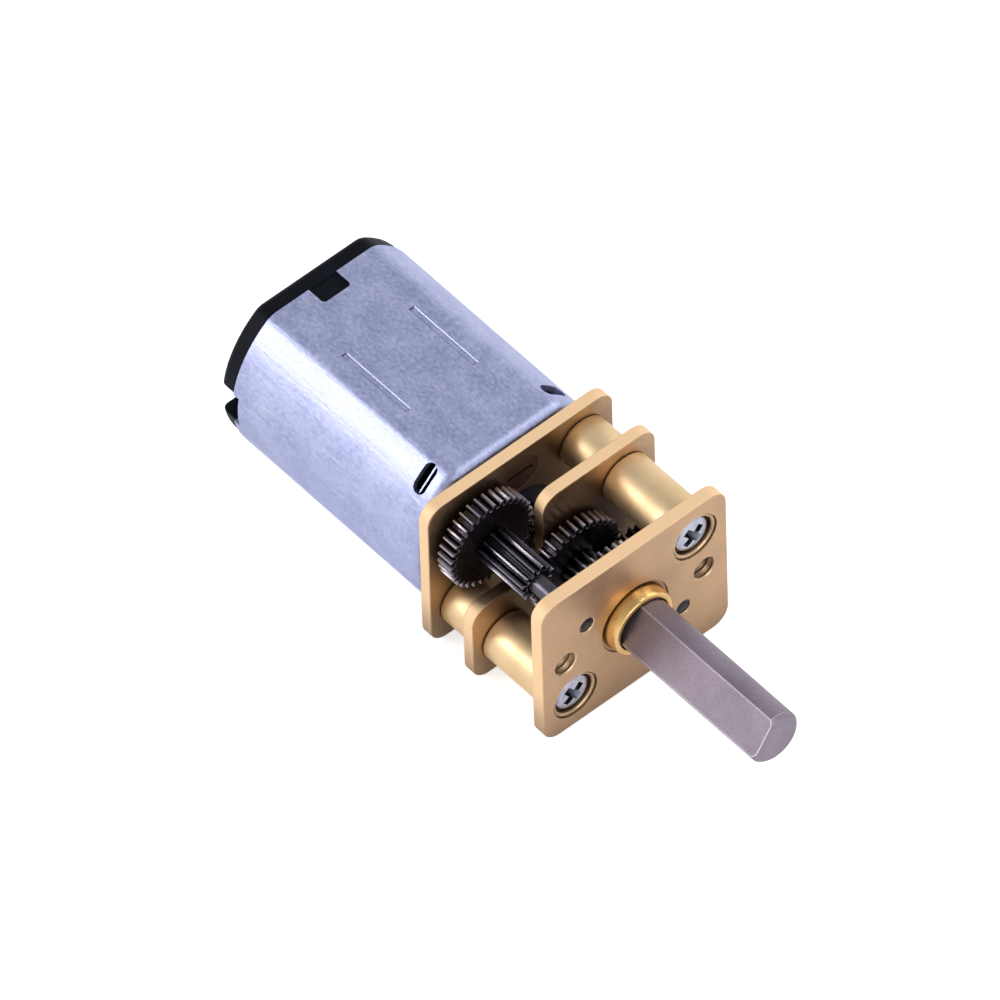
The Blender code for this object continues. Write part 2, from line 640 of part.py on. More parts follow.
def make_motor_can(materials):
    shoulder = 0.35
    sections = [(CAN_FRONT, motor_section(shoulder)), (CAN_FRONT + 0.1, motor_section(0.1)),
                (CAN_FRONT + shoulder, motor_section(0.0)), (CAN_REAR, motor_section(0.0))]
    can = finish_part(loft(sections), "motor_can", materials["zinc_can"])
    front_wall = CAN_FRONT + CAN_WALL
    cut(can, loft([(front_wall, motor_section(CAN_WALL)), (CAN_REAR + PAST, motor_section(CAN_WALL))]))
    boss_front = CAN_FRONT - CAN_BOSS_LENGTH
    join(can, lathe([(boss_front, 0.0), (boss_front, CAN_BOSS_RADIUS), (BEARING_SPAN[1], CAN_BOSS_RADIUS),
                     (BEARING_SPAN[1], 0.0)], 28))
    seat = BEARING_RADIUS + SEAT_GAP
    seat_front = BEARING_SPAN[0] - FACE_GAP
    cut(can, lathe([(boss_front - PAST, 0.0), (boss_front - PAST, CAN_BOSS_HOLE), (seat_front, CAN_BOSS_HOLE),
                    (seat_front, seat), (BEARING_SPAN[1] + PAST, seat), (BEARING_SPAN[1] + PAST, 0.0)], 24))
    for side in (1, -1):
        hole = circle(MOTOR_SCREW_RADIUS + SEAT_GAP, (0.0, side * MOTOR_SCREW_Z), 16)
        cut(can, prism(hole, CAN_FRONT - PAST, CAN_FRONT + PAST))
        notch_z = sorted((side * (MOTOR_HALF_HEIGHT - 2 * CAN_WALL), side * (MOTOR_HALF_HEIGHT + PAST)))
        cut(can, box(-TOP_NOTCH[0], TOP_NOTCH[0], CAN_REAR - TOP_NOTCH[1], CAN_REAR + PAST, *notch_z))
        notch_x = sorted((side * (MOTOR_RADIUS - 4 * CAN_WALL), side * (MOTOR_RADIUS + PAST)))
        cut(can, box(*notch_x, CAN_REAR - SIDE_NOTCH[1], CAN_REAR + PAST, -SIDE_NOTCH[0], SIDE_NOTCH[0]))
        for angle in (side * VENT_ANGLE, side * (math.pi - VENT_ANGLE)):
            length, width = VENT_SIZE
            oval = rounded_rectangle(-length / 2, length / 2, -width / 2, width / 2, width / 2 - SEAT_GAP, 4)
            cut(can, radial_prism(oval, MOTOR_RADIUS - PAST, MOTOR_RADIUS + PAST, angle, VENT_Y))
    return can


def make_end_cap(materials):
    inside = motor_section(CAN_WALL + 0.05)
    outside = motor_section(CAP_INSET)
    sections = [(CAP_LIP, inside), (CAN_REAR + FACE_GAP, inside), (CAN_REAR + FACE_GAP, outside),
                (CAP_REAR - CAP_BEVEL, outside), (CAP_REAR, motor_section(CAP_INSET + CAP_BEVEL))]
    cap = finish_part(loft(sections), "end_cap", materials["black_plastic"])
    hollow = motor_section(CAP_LIP_INSET)
    cut(cap, loft([(CAP_LIP - PAST, hollow), (CAP_FLOOR, hollow)]))
    join(cap, lathe([(CAP_FLOOR + 0.5, 0.0), (CAP_FLOOR + 0.5, CAN_BOSS_RADIUS),
                     (CAP_BOSS_REAR, CAN_BOSS_RADIUS - 0.1), (CAP_BOSS_REAR, 0.0)], 28))
    seat = BEARING_RADIUS + SEAT_GAP
    seat_back = REAR_BEARING_SPAN[1] + FACE_GAP
    cut(cap, lathe([(CAP_FLOOR - PAST, 0.0), (CAP_FLOOR - PAST, seat), (seat_back, seat),
                    (seat_back, CAP_SHAFT_HOLE), (CAP_BOSS_REAR + PAST, CAP_SHAFT_HOLE),
                    (CAP_BOSS_REAR + PAST, 0.0)], 24))
    slot_half_x, slot_half_z = TERMINAL_THICKNESS / 2 + CLEARANCE, TERMINAL_WIDTH / 2 + CLEARANCE
    for side in (1, -1):
        tab_z = sorted((side * (MOTOR_HALF_HEIGHT - TAB_DEPTH), side * (MOTOR_HALF_HEIGHT - TAB_INSET)))
        half_width = TOP_NOTCH[0] - CLEARANCE
        tab_front = CAN_REAR - TOP_NOTCH[1] + CLEARANCE
        join(cap, box(-half_width, half_width, tab_front, CAN_REAR + TAB_DEPTH, *tab_z))
        notch_x = sorted((side * (MOTOR_RADIUS - SIDE_NOTCH_DEPTH), side * (MOTOR_RADIUS + PAST)))
        cut(cap, box(*notch_x, CAN_REAR - SIDE_NOTCH[1] - CLEARANCE, CAP_REAR + PAST,
                     -SIDE_NOTCH[0], SIDE_NOTCH[0]))
        slot_x = sorted((side * (TERMINAL_X - slot_half_x), side * (TERMINAL_X + slot_half_x)))
        cut(cap, box(*slot_x, CAP_FLOOR - PAST, CAP_REAR + PAST, -slot_half_z, slot_half_z))
    return cap


def make_bearings(materials):
    for name, span in (("front_bearing", BEARING_SPAN), ("rear_bearing", REAR_BEARING_SPAN)):
        finish_part(tube(MOTOR_SHAFT_RADIUS + CLEARANCE, BEARING_RADIUS, *span, 24), name,
                    materials["bronze"])


def make_magnets(materials):
    inner = ARMATURE_RADIUS + AIR_GAP
    for name, middle in (("magnet_right", 0.0), ("magnet_left", math.pi)):
        outline = sector(inner, CAN_INSIDE - CLEARANCE, middle, MAGNET_HALF_ANGLE, 10)
        finish_part(prism(outline, *MAGNET_SPAN), name, materials["magnet"])
    clip_half_width, clip_foot, clip_top, clip_thickness, clip_inset = 2.9, (3.3, 3.58), 4.3, 0.2, 0.5
    clip = strip_outline([(-clip_foot[0], clip_foot[1]), (-clip_half_width, clip_top),
                          (clip_half_width, clip_top), clip_foot], clip_thickness)
    finish_part(prism(clip, MAGNET_SPAN[0] + clip_inset, MAGNET_SPAN[1] - clip_inset), "magnet_clip",
                materials["spring_steel"])


def make_terminals(materials):
    """Two solder tabs, each with a springy leaf that touches the commutator."""
    half_thickness, half_width = TERMINAL_THICKNESS / 2, TERMINAL_WIDTH / 2
    touch = COMMUTATOR_RADIUS + 0.1
    root = TERMINAL_X - half_thickness - LEAF_THICKNESS / 2 - CLEARANCE
    leaf_start, leaf_bend, leaf_end = -1.0, 1.1, 0.3
    for name, side in (("right", 1), ("left", -1)):
        tab_x = sorted((side * (TERMINAL_X - half_thickness), side * (TERMINAL_X + half_thickness)))
        tab = finish_part(box(*tab_x, BRUSH_SPAN[0], TERMINAL_REAR, -half_width, half_width),
                          "terminal_" + name, materials["brass"])
        hole = prism(circle(SOLDER_HOLE_RADIUS, steps=16), TERMINAL_X - PAST, TERMINAL_X + PAST)
        bmesh.ops.rotate(hole, verts=hole.verts, matrix=Matrix.Rotation(-side * math.pi / 2.0, 3, "Z"))
        bmesh.ops.translate(hole, verts=hole.verts, vec=(0.0, SOLDER_HOLE_Y, 0.0))
        cut(tab, hole)
        leaf = [(side * touch, side * leaf_start), (side * touch, side * leaf_bend),
                (side * root, side * leaf_bend), (side * root, side * leaf_end)]
        finish_part(prism(strip_outline(leaf, LEAF_THICKNESS), *BRUSH_SPAN), "brush_" + name,
                    materials["copper"])


# ---- rotor ----

def armature_outline():
    """A three-pole lamination: a hub, three necks and three curved pole shoes."""
    hub, neck, shoe = ARMATURE_HUB, POLE_NECK, POLE_SHOE
    shoe_half = math.radians(49.0)
    points = []
    for pole in range(3):
        middle = math.pi / 2.0 + TAU * pole / 3
        neck_at_hub = math.asin(neck / hub)
        neck_at_shoe = math.asin(neck / shoe)
        points += arc(hub, middle - TAU / 6, middle - neck_at_hub, 3)[1:]
        points += arc(shoe, middle - neck_at_shoe, middle - shoe_half, 3)
        points += arc(ARMATURE_RADIUS, middle - shoe_half, middle + shoe_half, 10)
        points += arc(shoe, middle + shoe_half, middle + neck_at_shoe, 3)
        points += arc(hub, middle + neck_at_hub, middle + TAU / 6, 3)
    return points


def make_winding(name, angle, group, materials):
    """A coil of wire round one pole neck, shown as one solid."""
    half_length = (ARMATURE_SPAN[1] - ARMATURE_SPAN[0]) / 2.0
    inner_x, inner_y = POLE_NECK + CLEARANCE, half_length + CLEARANCE
    outer_x, outer_y = inner_x + 0.52, inner_y + 0.57
    outline = rounded_rectangle(-outer_x, outer_x, -outer_y, outer_y, 0.5, 3)
    hole = rounded_rectangle(-inner_x, inner_x, -inner_y, inner_y, 0.02, 1)
    coil = radial_prism(outline, *COIL_RADII, angle, sum(ARMATURE_SPAN) / 2.0, [hole])
    finish_part(coil, name, materials["copper"], group)


def make_rotor(phases, materials):
    group = make_axis("rotor_axis", AXIS_CENTRE)
    radius = MOTOR_SHAFT_RADIUS
    front, edge = MOTOR_PINION_SPAN[0] - 0.1, 0.08
    profile = [(front, 0.0), (front, radius - edge), (front + edge, radius), (ROTOR_REAR - edge, radius),
               (ROTOR_REAR, radius - edge), (ROTOR_REAR, 0.0)]
    finish_part(lathe(profile, 16), "rotor_shaft", materials["bright_steel"], group)
    bore = [circle(radius + SEAT_GAP, steps=20)]
    finish_part(prism(armature_outline(), *ARMATURE_SPAN, bore), "armature_core", materials["laminations"],
                group)
    for pole in range(3):
        make_winding("winding_%d" % (pole + 1), math.pi / 2.0 + TAU * pole / 3, group, materials)
    core_radius = COMMUTATOR_RADIUS - SEGMENT_THICKNESS
    finish_part(tube(radius + SEAT_GAP, core_radius, *COMMUTATOR_SPAN, 20), "commutator_core",
                materials["black_plastic"], group)
    for segment in range(3):
        outline = sector(core_radius + SEAT_GAP, COMMUTATOR_RADIUS, TAU * segment / 3, SEGMENT_HALF_ANGLE, 6)
        finish_part(prism(outline, COMMUTATOR_SPAN[0] + SEGMENT_INSET, COMMUTATOR_SPAN[1] - SEGMENT_INSET),
                    "commutator_segment_%d" % (segment + 1), materials["copper"], group)
    pinion = prism(gear_outline(MOTOR_PINION_TEETH, phases["motor_pinion"]), *MOTOR_PINION_SPAN, bore)
    finish_part(pinion, "motor_pinion", materials["bright_steel"], group)


def main():
    clear_scene()
    materials = make_materials()
    phases = gear_phases()
    make_front_plate(materials)
    make_middle_plate(materials)
    make_rear_plate(materials)
    for side, axis in SPACER_AXES.items():
        make_spacer("front_spacer_" + side, FRONT_PLATE[1], MIDDLE_PLATE[0], axis, materials)
        make_spacer("rear_spacer_" + side, MIDDLE_PLATE[1], REAR_PLATE[0], axis, materials)
        make_gearbox_screw("gearbox_screw_" + side, axis, materials)
    make_output_bush(materials)
    make_motor_screw("motor_screw_upper", MOTOR_SCREW_Z, materials)
    make_motor_screw("motor_screw_lower", -MOTOR_SCREW_Z, materials)
    make_first_stage(phases, materials)
    make_second_stage(phases, materials)
    make_third_stage(phases, materials)
    make_output_stage(materials)
    make_motor_can(materials)
    make_end_cap(materials)
    make_bearings(materials)
    make_magnets(materials)
    make_terminals(materials)
    make_rotor(phases, materials)


main()
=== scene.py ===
"""Miniature spur gearmotor: the visual model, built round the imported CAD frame.

Lengths are in millimetres unless a comment says otherwise. x and z are measured from the output shaft's
axis, and y is the CAD frame's own. A piece's mesh becomes metres in the CAD frame when it is finished, so
every piece's origin is the frame's.
"""

import json
import math

import bmesh
import bpy
from mathutils import Matrix, Vector
from mathutils.geometry import delaunay_2d_cdt


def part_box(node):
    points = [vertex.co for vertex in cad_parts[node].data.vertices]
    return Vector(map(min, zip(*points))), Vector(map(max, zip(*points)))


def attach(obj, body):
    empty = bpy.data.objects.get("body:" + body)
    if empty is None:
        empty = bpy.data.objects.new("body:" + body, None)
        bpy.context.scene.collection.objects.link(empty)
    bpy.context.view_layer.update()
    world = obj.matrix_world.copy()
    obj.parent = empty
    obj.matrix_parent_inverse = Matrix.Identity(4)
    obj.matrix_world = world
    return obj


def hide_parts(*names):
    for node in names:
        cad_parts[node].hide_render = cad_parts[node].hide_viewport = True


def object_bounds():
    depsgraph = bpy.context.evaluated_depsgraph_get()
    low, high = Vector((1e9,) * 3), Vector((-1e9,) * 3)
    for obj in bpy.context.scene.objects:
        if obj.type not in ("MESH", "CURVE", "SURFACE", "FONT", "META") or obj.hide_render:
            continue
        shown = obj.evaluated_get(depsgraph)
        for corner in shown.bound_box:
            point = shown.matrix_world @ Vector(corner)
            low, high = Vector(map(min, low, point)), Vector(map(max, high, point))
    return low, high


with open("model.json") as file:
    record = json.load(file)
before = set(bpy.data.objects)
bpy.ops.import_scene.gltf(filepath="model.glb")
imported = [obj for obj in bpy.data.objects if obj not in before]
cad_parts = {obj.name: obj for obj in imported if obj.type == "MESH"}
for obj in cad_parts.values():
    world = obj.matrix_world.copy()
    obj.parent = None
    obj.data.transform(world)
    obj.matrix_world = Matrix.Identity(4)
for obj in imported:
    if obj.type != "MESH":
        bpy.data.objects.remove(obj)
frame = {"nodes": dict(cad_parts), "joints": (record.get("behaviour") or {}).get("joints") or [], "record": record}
cad_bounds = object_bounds()

MM = 0.001
TAU = 2.0 * math.pi
RIGHT_ANGLE = math.pi / 2.0

# ---- what the frame says ----
BODY_OF = {node: body for body, nodes in frame["record"]["behaviour"]["bodies"].items() for node in nodes}
SLOT_OF = {part["node"]: part["material_slot"] for part in frame["record"]["subparts"]}
PIVOTS = {joint["child"]: joint["pos_m"] for joint in frame["joints"]}
SHAFT_X, _, SHAFT_Z = PIVOTS["output"]


def axis_of(node):
    """Where the axis that a piece turns on crosses the XZ plane."""
    x, _, z = PIVOTS[BODY_OF[node]]
    return ((x - SHAFT_X) / MM, (z - SHAFT_Z) / MM)


def span(node):
    low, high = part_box(node)
    return (low.y / MM, high.y / MM)


def centre(node):
    low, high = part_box(node)
    return (((low.x + high.x) / 2 - SHAFT_X) / MM, ((low.z + high.z) / 2 - SHAFT_Z) / MM)


def half_width(node):
    low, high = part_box(node)
    return (high.x - low.x) / 2 / MM


def half_height(node):
    low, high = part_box(node)
    return (high.z - low.z) / 2 / MM


FRONT_PLATE = span("front_plate")
MIDDLE_PLATE = span("middle_plate")
REAR_PLATE = span("rear_plate")
FACE = FRONT_PLATE[0]
CAN_REAR = span("motor_can")[1]
CAN_RADIUS = half_width("motor_can")
CAN_HALF_HEIGHT = half_height("motor_can")
SPACERS = {side: centre("front_spacer_" + side) for side in ("upper", "lower")}

# ---- gaps and allowances ----
CLEARANCE = 0.03
SEAT_GAP = 0.01
FACE_GAP = 0.02
FLOOR_GAP = 0.02
PAST = 1.0  # how far a cutting tool runs beyond what it cuts

# ---- gearbox frame ----
PLATE_CORNER = 1.0
PLATE_EDGE = 0.07
CUT_AWAY = (-1.3, 0.15)  # (x of its right edge, z of its lower edge)
MOUNT_HOLE_X = 4.5
MOUNT_HOLE_RADIUS = 0.8
MOUNT_HOLE_CHAMFER = 0.07
THREAD_PITCH = 0.35
THREAD_DEPTH = 0.15
RECESS_RADIUS = 1.4
RECESS_DEPTH = 0.45
RECESS_DRAFT = 0.02
RECESS_LEDGE = 0.07
RIDGE_HEIGHT = 0.45  # as a share of the first step's depth
RIDGE_GAP = 0.06
MOTOR_SCREW_RADIUS = 0.7
MOTOR_SCREW_SINK = 0.4
SPACER_EDGE = ((0.0, 0.08), (0.024, 0.024), (0.08, 0.0))  # (depth, inset) round the rim

# ---- gearbox screws ----
SCREW_RADIUS = 0.78
SCREW_POINT = 0.15
HEAD_RADIUS = half_width("gearbox_screw_upper")
HEAD_GAP = 0.08
HEAD_DOME = ((0.0, 0.0), (0.01, 0.4), (0.05, 0.7), (0.10, 0.88), (0.24, 1.0))  # (depth, share of the radius)
HEAD_CROSS_ANGLE = math.radians(40.0)
CROSS_ARM = 0.70
CROSS_HALF_WIDTH = 0.22
CROSS_DEPTH = 0.5
CROSS_ARM_TAPER = 0.4
CROSS_WIDTH_TAPER = 0.2

# ---- output shaft and its bush ----
SHAFT_RADIUS = 1.5
SHAFT_CHAMFER = 0.2
SHAFT_FLAT = 1.0
SHAFT_FLAT_ANGLE = math.radians(145.0)
SHAFT_COLLAR = (0.72, 0.45)  # (radius, length) behind the output wheel
BUSH_GAP = 0.15
BUSH_SINK = 0.1
BUSH_LIP = 0.15
BUSH_TAPER = 0.16
BUSH_ROUNDING = 0.1
SHAFT_ROUNDING = 0.06

# ---- gears ----
MODULE = 0.15
DEDENDUM = 1.25 * MODULE
PRESSURE_ANGLE = math.radians(20.0)
TOOTH_THINNING = 0.02
TOOTH_EDGE = 0.02
TIP_WEAR_AND_HIGHLIGHT = 1.8  # how steeply wear and its painted highlight grow up a tooth, to reach 1 at its tip
PAIR_TEETH = 48
PINION_TEETH = {"motor_pinion": 14, "first_pinion_shaft": 12, "second_pinion": 13, "third_pinion_shaft": 10}
DRIVEN = {"motor_pinion": "first_wheel", "first_pinion_shaft": "second_wheel",
          "second_pinion": "third_wheel", "third_pinion_shaft": "output_wheel"}
# the radius of the seat that carries each wheel
WHEEL_SEAT = {"first_wheel": 0.68, "second_wheel": 0.75, "third_wheel": 0.5, "output_wheel": 1.0}
WHEEL_BORE_EDGE = 0.03
GEAR_SHARP_ANGLE = 30.0
AXLE_RADIUS = 0.42
JOURNAL_RADIUS = 0.5
SPINDLE_RADIUS = 0.55
PINION_ROUNDING = 0.04
MOTOR_SHAFT_RADIUS = half_width("rotor_shaft")

# ---- motor can ----
CAN_WALL = 0.35
CAN_FILLET = 1.1
CAN_SHOULDER = 0.8
CAN_FRONT = REAR_PLATE[1] + FACE_GAP
CAN_BOSS_RADIUS = 1.95
CAN_BOSS_LENGTH = 0.6
CAN_BOSS_ROUNDING = 0.1
CAN_SHAFT_HOLE = 0.8
TOP_NOTCH = (0.9, 1.15)  # (half width, length)
NOTCH_CORNER = 0.22
SIDE_NOTCH = (1.0, 0.4)  # (half width, length)
VENT = (0.88, 0.41)  # (half length, half width)
VENT_Y = CAN_FRONT + 1.58
VENT_ANGLE = math.radians(134.0)
VENT_BAR_HALF_WIDTH = 0.045
VENT_BAR_SINK = 0.30
MARK_X = (-2.3, 2.1)
MARK_Y = (CAN_FRONT + 4.93, CAN_FRONT + 9.75)
MARK_WIDTH = 0.36
MARK_FLOOR = 0.26
MARK_DEPTH = 0.05

# ---- end cap ----
CAP_LIP_INSET = CAN_WALL + 0.05
CAP_INSET = 0.1
CAP_THICKNESS = 1.1
CAP_EDGE = 0.4
CAP_HOLLOW = (1.1, 1.4)  # (inset, depth)
CAP_BOSS_START = 1.9
CAP_BOSS_EDGE = ((0.15, 0.05), (0.0, 0.2))  # (depth, inset) round the rim
CAP_SHAFT_HOLE = 0.65
CAP_NOTCH_DEPTH = 1.1
TAB_LENGTH = 0.4
TAB_SPAN = (0.6, 0.15)  # how far a tab's inside and outside lie below the can's flat
TERMINAL_SLOT = (0.16, 0.78)  # (half thickness, half width)

# ---- wear and painted edge highlights ----
EDGE_WEAR_AND_HIGHLIGHT = 0.06  # how far it reaches in from an edge


# ---- outlines in the XZ plane ----

def arc(radius, start, end, steps, middle=(0.0, 0.0)):
    return [(middle[0] + radius * math.cos(start + (end - start) * i / steps),
             middle[1] + radius * math.sin(start + (end - start) * i / steps))
            for i in range(steps + 1)]


def circle(radius, middle=(0.0, 0.0), steps=48):
    return arc(radius, 0.0, TAU * (steps - 1) / steps, steps - 1, middle)


def rounded_rectangle(x_low, x_high, z_low, z_high, radius, steps=8):
    corners = [(x_high - radius, z_high - radius), (x_low + radius, z_high - radius),
               (x_low + radius, z_low + radius), (x_high - radius, z_low + radius)]
    points = []
    for quarter, corner in enumerate(corners):
        start = quarter * RIGHT_ANGLE
        points += arc(radius, start, start + RIGHT_ANGLE, steps, corner)
    return points


def plate_outline():
    x, z = half_width("front_plate"), half_height("front_plate")
    return rounded_rectangle(-x, x, -z, z, PLATE_CORNER)


def cut_plate_outline():
    """The plate without its upper left corner, which leaves room for the first pinion."""
    x, z = half_width("middle_plate"), half_height("middle_plate")
    r = PLATE_CORNER
    left, low = CUT_AWAY
    points = arc(r, 0.0, RIGHT_ANGLE, 8, (x - r, z - r))
    points += arc(r, RIGHT_ANGLE, 2 * RIGHT_ANGLE, 8, (left + r, z - r))
    points += [(left, low)]
    points += arc(r, RIGHT_ANGLE, 2 * RIGHT_ANGLE, 8, (-x + r, low - r))
    points += arc(r, 2 * RIGHT_ANGLE, 3 * RIGHT_ANGLE, 8, (-x + r, -z + r))
    points += arc(r, 3 * RIGHT_ANGLE, 4 * RIGHT_ANGLE, 8, (x - r, -z + r))
    return points


def involute_angle(radius, base):
    if radius <= base:
        return 0.0
    pressure = math.acos(base / radius)
    return math.tan(pressure) - pressure


def gear_outline(teeth, phase, middle):
    """Involute teeth with one tooth centred on the phase angle."""
    pitch = MODULE * teeth / 2.0
    base = pitch * math.cos(PRESSURE_ANGLE)
    root = pitch - DEDENDUM
    tip = pitch + MODULE
    half_tooth = (math.pi * MODULE / 2.0 - TOOTH_THINNING) / 2.0 / pitch + involute_angle(pitch, base)
    start = max(root, base)
    flank = [root] if base > root + 0.1 * MODULE else []
    flank += [start + (tip - start) * step / 4 for step in range(5)]
    points = []
    for tooth in range(teeth):
        tooth_middle = phase + TAU * tooth / teeth
        side = [(r, half_tooth - involute_angle(r, base)) for r in flank]
        points += [(middle[0] + r * math.cos(tooth_middle + a), middle[1] + r * math.sin(tooth_middle + a))
                   for r, a in [(r, -a) for r, a in side] + side[::-1]]
    return points


def meshing_phase(wheel_teeth, wheel_axis, teeth, axis):
    """The phase that puts a pinion's gap where a wheel's tooth crosses the line of centres."""
    line = math.atan2(axis[1] - wheel_axis[1], axis[0] - wheel_axis[0])
    wheel_fraction = line * wheel_teeth / TAU
    return line + math.pi - (0.5 - wheel_fraction) * TAU / teeth


def offset(loop, distance):
    """Moves an anticlockwise loop inwards by a distance."""
    moved = []
    for i, point in enumerate(loop):
        before = (Vector(point) - Vector(loop[i - 1])).normalized()
        after = (Vector(loop[(i + 1) % len(loop)]) - Vector(point)).normalized()
        left = Vector((-before.y - after.y, before.x + after.x))
        moved.append(tuple(Vector(point) + left * distance / max(0.4, 1.0 + before.dot(after))))
    return moved


# ---- solids, all as bmesh in millimetres ----

def ring(bm, loop, y):
    return [bm.verts.new((x, y, z)) for x, z in loop]


def bridge(bm, first, second):
    for i in range(len(first)):
        j = (i + 1) % len(first)
        bm.faces.new((first[i], first[j], second[j], second[i]))


def fill(bm, loops):
    """Triangles between the first loop of vertices and the loops inside it."""
    verts = [vert for loop in loops for vert in loop]
    places = {vert: i for i, vert in enumerate(verts)}
    rings = [[places[vert] for vert in loop] for loop in loops]
    flat = [Vector((vert.co.x, vert.co.z)) for vert in verts]
    inside_without_holes = 2
    _, _, faces, sources, _, _ = delaunay_2d_cdt(flat, [], rings, inside_without_holes, 1e-7)
    for face in faces:
        bm.faces.new([verts[sources[i][0]] for i in face])


def rim(y_low, y_high, edge, steps=3):
    """Rings from front to back of a sheet with rounded edges: (y, distance in from the outline)."""
    front = [(y_low + edge * (1.0 - math.cos(RIGHT_ANGLE * i / steps)),
              edge * (1.0 - math.sin(RIGHT_ANGLE * i / steps))) for i in range(steps + 1)]
    return front + [(y_high - (y - y_low), inset) for y, inset in reversed(front)]


def plain_hole(radius, y_low, y_high, edge=0.04):
    return [(y_low, radius + edge), (y_low + edge, radius), (y_high - edge, radius), (y_high, radius + edge)]


def threaded_hole(y_low, y_high):
    """Ring-shaped threads behind a chamfer at 45 degrees, ending on a crest."""
    crest = MOUNT_HOLE_RADIUS - THREAD_DEPTH
    start = y_low + MOUNT_HOLE_CHAMFER
    profile = [(y_low, crest + MOUNT_HOLE_CHAMFER), (start, crest)]
    turns = int((y_high - start) / THREAD_PITCH)
    for turn in range(turns):
        y = start + turn * THREAD_PITCH
        profile += [(y + THREAD_PITCH / 2, MOUNT_HOLE_RADIUS), (y + THREAD_PITCH, crest)]
    return profile + [(y_high, crest)]


def sheet(outline, edges, holes=(), steps=48):
    """A sheet with rounded edges. Each hole is (middle, profile of (y, radius) from front to back)."""
    bm = bmesh.new()
    outer = [ring(bm, offset(outline, inset), y) for y, inset in edges]
    for first, second in zip(outer, outer[1:]):
        bridge(bm, first, second)
    fronts, backs = [outer[0]], [outer[-1]]
    for middle, profile in holes:
        rings = [ring(bm, circle(radius, middle, steps), y) for y, radius in profile]
        for first, second in zip(rings, rings[1:]):
            bridge(bm, first, second)
        fronts.append(rings[0])
        backs.append(rings[-1])
    fill(bm, fronts)
    fill(bm, backs)
    return bm


def softened(profile, radius, steps=3):
    """Rounds the corners of an open profile of (y, radius) points."""
    points = [Vector(point) for point in profile]
    rounded = [tuple(points[0])]
    for before, corner, after in zip(points, points[1:], points[2:]):
        reach = min(radius, (corner - before).length * 0.45, (after - corner).length * 0.45)
        start = corner + (before - corner).normalized() * reach
        end = corner + (after - corner).normalized() * reach
        for i in range(steps + 1):
            t = i / steps
            rounded.append(tuple(start * (1 - t) ** 2 + corner * 2 * t * (1 - t) + end * t ** 2))
    return rounded + [tuple(points[-1])]


def lathe(profile, middle=(0.0, 0.0), steps=64, hollow=False):
    """Turns a profile of (y, radius) points; one that isn't hollow starts and ends on its axis."""
    bm = bmesh.new()
    body = profile if hollow else profile[1:-1]
    rings = [ring(bm, circle(radius, middle, steps), y) for y, radius in body]
    for first, second in zip(rings, rings[1:]):
        bridge(bm, first, second)
    if hollow:
        bridge(bm, rings[-1], rings[0])
    else:
        for end, verts in ((profile[0], rings[0]), (profile[-1], rings[-1])):
            tip = ring(bm, [middle], end[0])[0]
            for i in range(steps):
                bm.faces.new((verts[i], verts[(i + 1) % steps], tip))
    return bm


def loft(sections):
    bm = bmesh.new()
    rings = [ring(bm, outline, y) for y, outline in sections]
    for first, second in zip(rings, rings[1:]):
        bridge(bm, first, second)
    fill(bm, [rings[0]])
    fill(bm, [rings[-1]])
    return bm


def box(x_low, x_high, y_low, y_high, z_low, z_high):
    outline = [(x_low, z_low), (x_high, z_low), (x_high, z_high), (x_low, z_high)]
    return loft([(y_low, outline), (y_high, outline)])


def turned(bm, angle, middle=(0.0, 0.0)):
    pivot = Vector((middle[0], 0.0, middle[1]))
    bmesh.ops.rotate(bm, verts=bm.verts, cent=pivot, matrix=Matrix.Rotation(-angle, 3, "Y"))
    return bm


def mesh_from(bm, name):
    """Turns a bmesh, which is used up, into a mesh."""
    mesh = bpy.data.meshes.new(name)
    bm.to_mesh(mesh)
    bm.free()
    return mesh


def add_object(name, data):
    obj = bpy.data.objects.new(name, data)
    bpy.context.scene.collection.objects.link(obj)
    return obj


def temporary(bm):
    bmesh.ops.recalc_face_normals(bm, faces=bm.faces)
    bmesh.ops.triangulate(bm, faces=bm.faces)
    return add_object("temporary", mesh_from(bm, "temporary"))


def combined(bm, tool, operation):
    """An exact Boolean of two meshes, both used up."""
    target_obj, tool_obj = temporary(bm), temporary(tool)
    modifier = target_obj.modifiers.new("boolean", "BOOLEAN")
    modifier.operation = operation
    modifier.solver = "EXACT"
    modifier.object = tool_obj
    bpy.context.view_layer.update()
    evaluated = target_obj.evaluated_get(bpy.context.evaluated_depsgraph_get())
    result = bmesh.new()
    result.from_mesh(evaluated.to_mesh())
    evaluated.to_mesh_clear()
    for obj in (target_obj, tool_obj):
        mesh = obj.data
        bpy.data.objects.remove(obj)
        bpy.data.meshes.remove(mesh)
    return result


def gathered(meshes):
    """Separate solids in one mesh, to be used as one tool."""
    together = bmesh.new()
    for bm in meshes:
        bmesh.ops.recalc_face_normals(bm, faces=bm.faces)
        mesh = mesh_from(bm, "gathered")
        together.from_mesh(mesh)
        bpy.data.meshes.remove(mesh)
    return together


def cut(bm, tool):
    return combined(bm, tool, "DIFFERENCE")


def joined(bm, tool):
    return combined(bm, tool, "UNION")


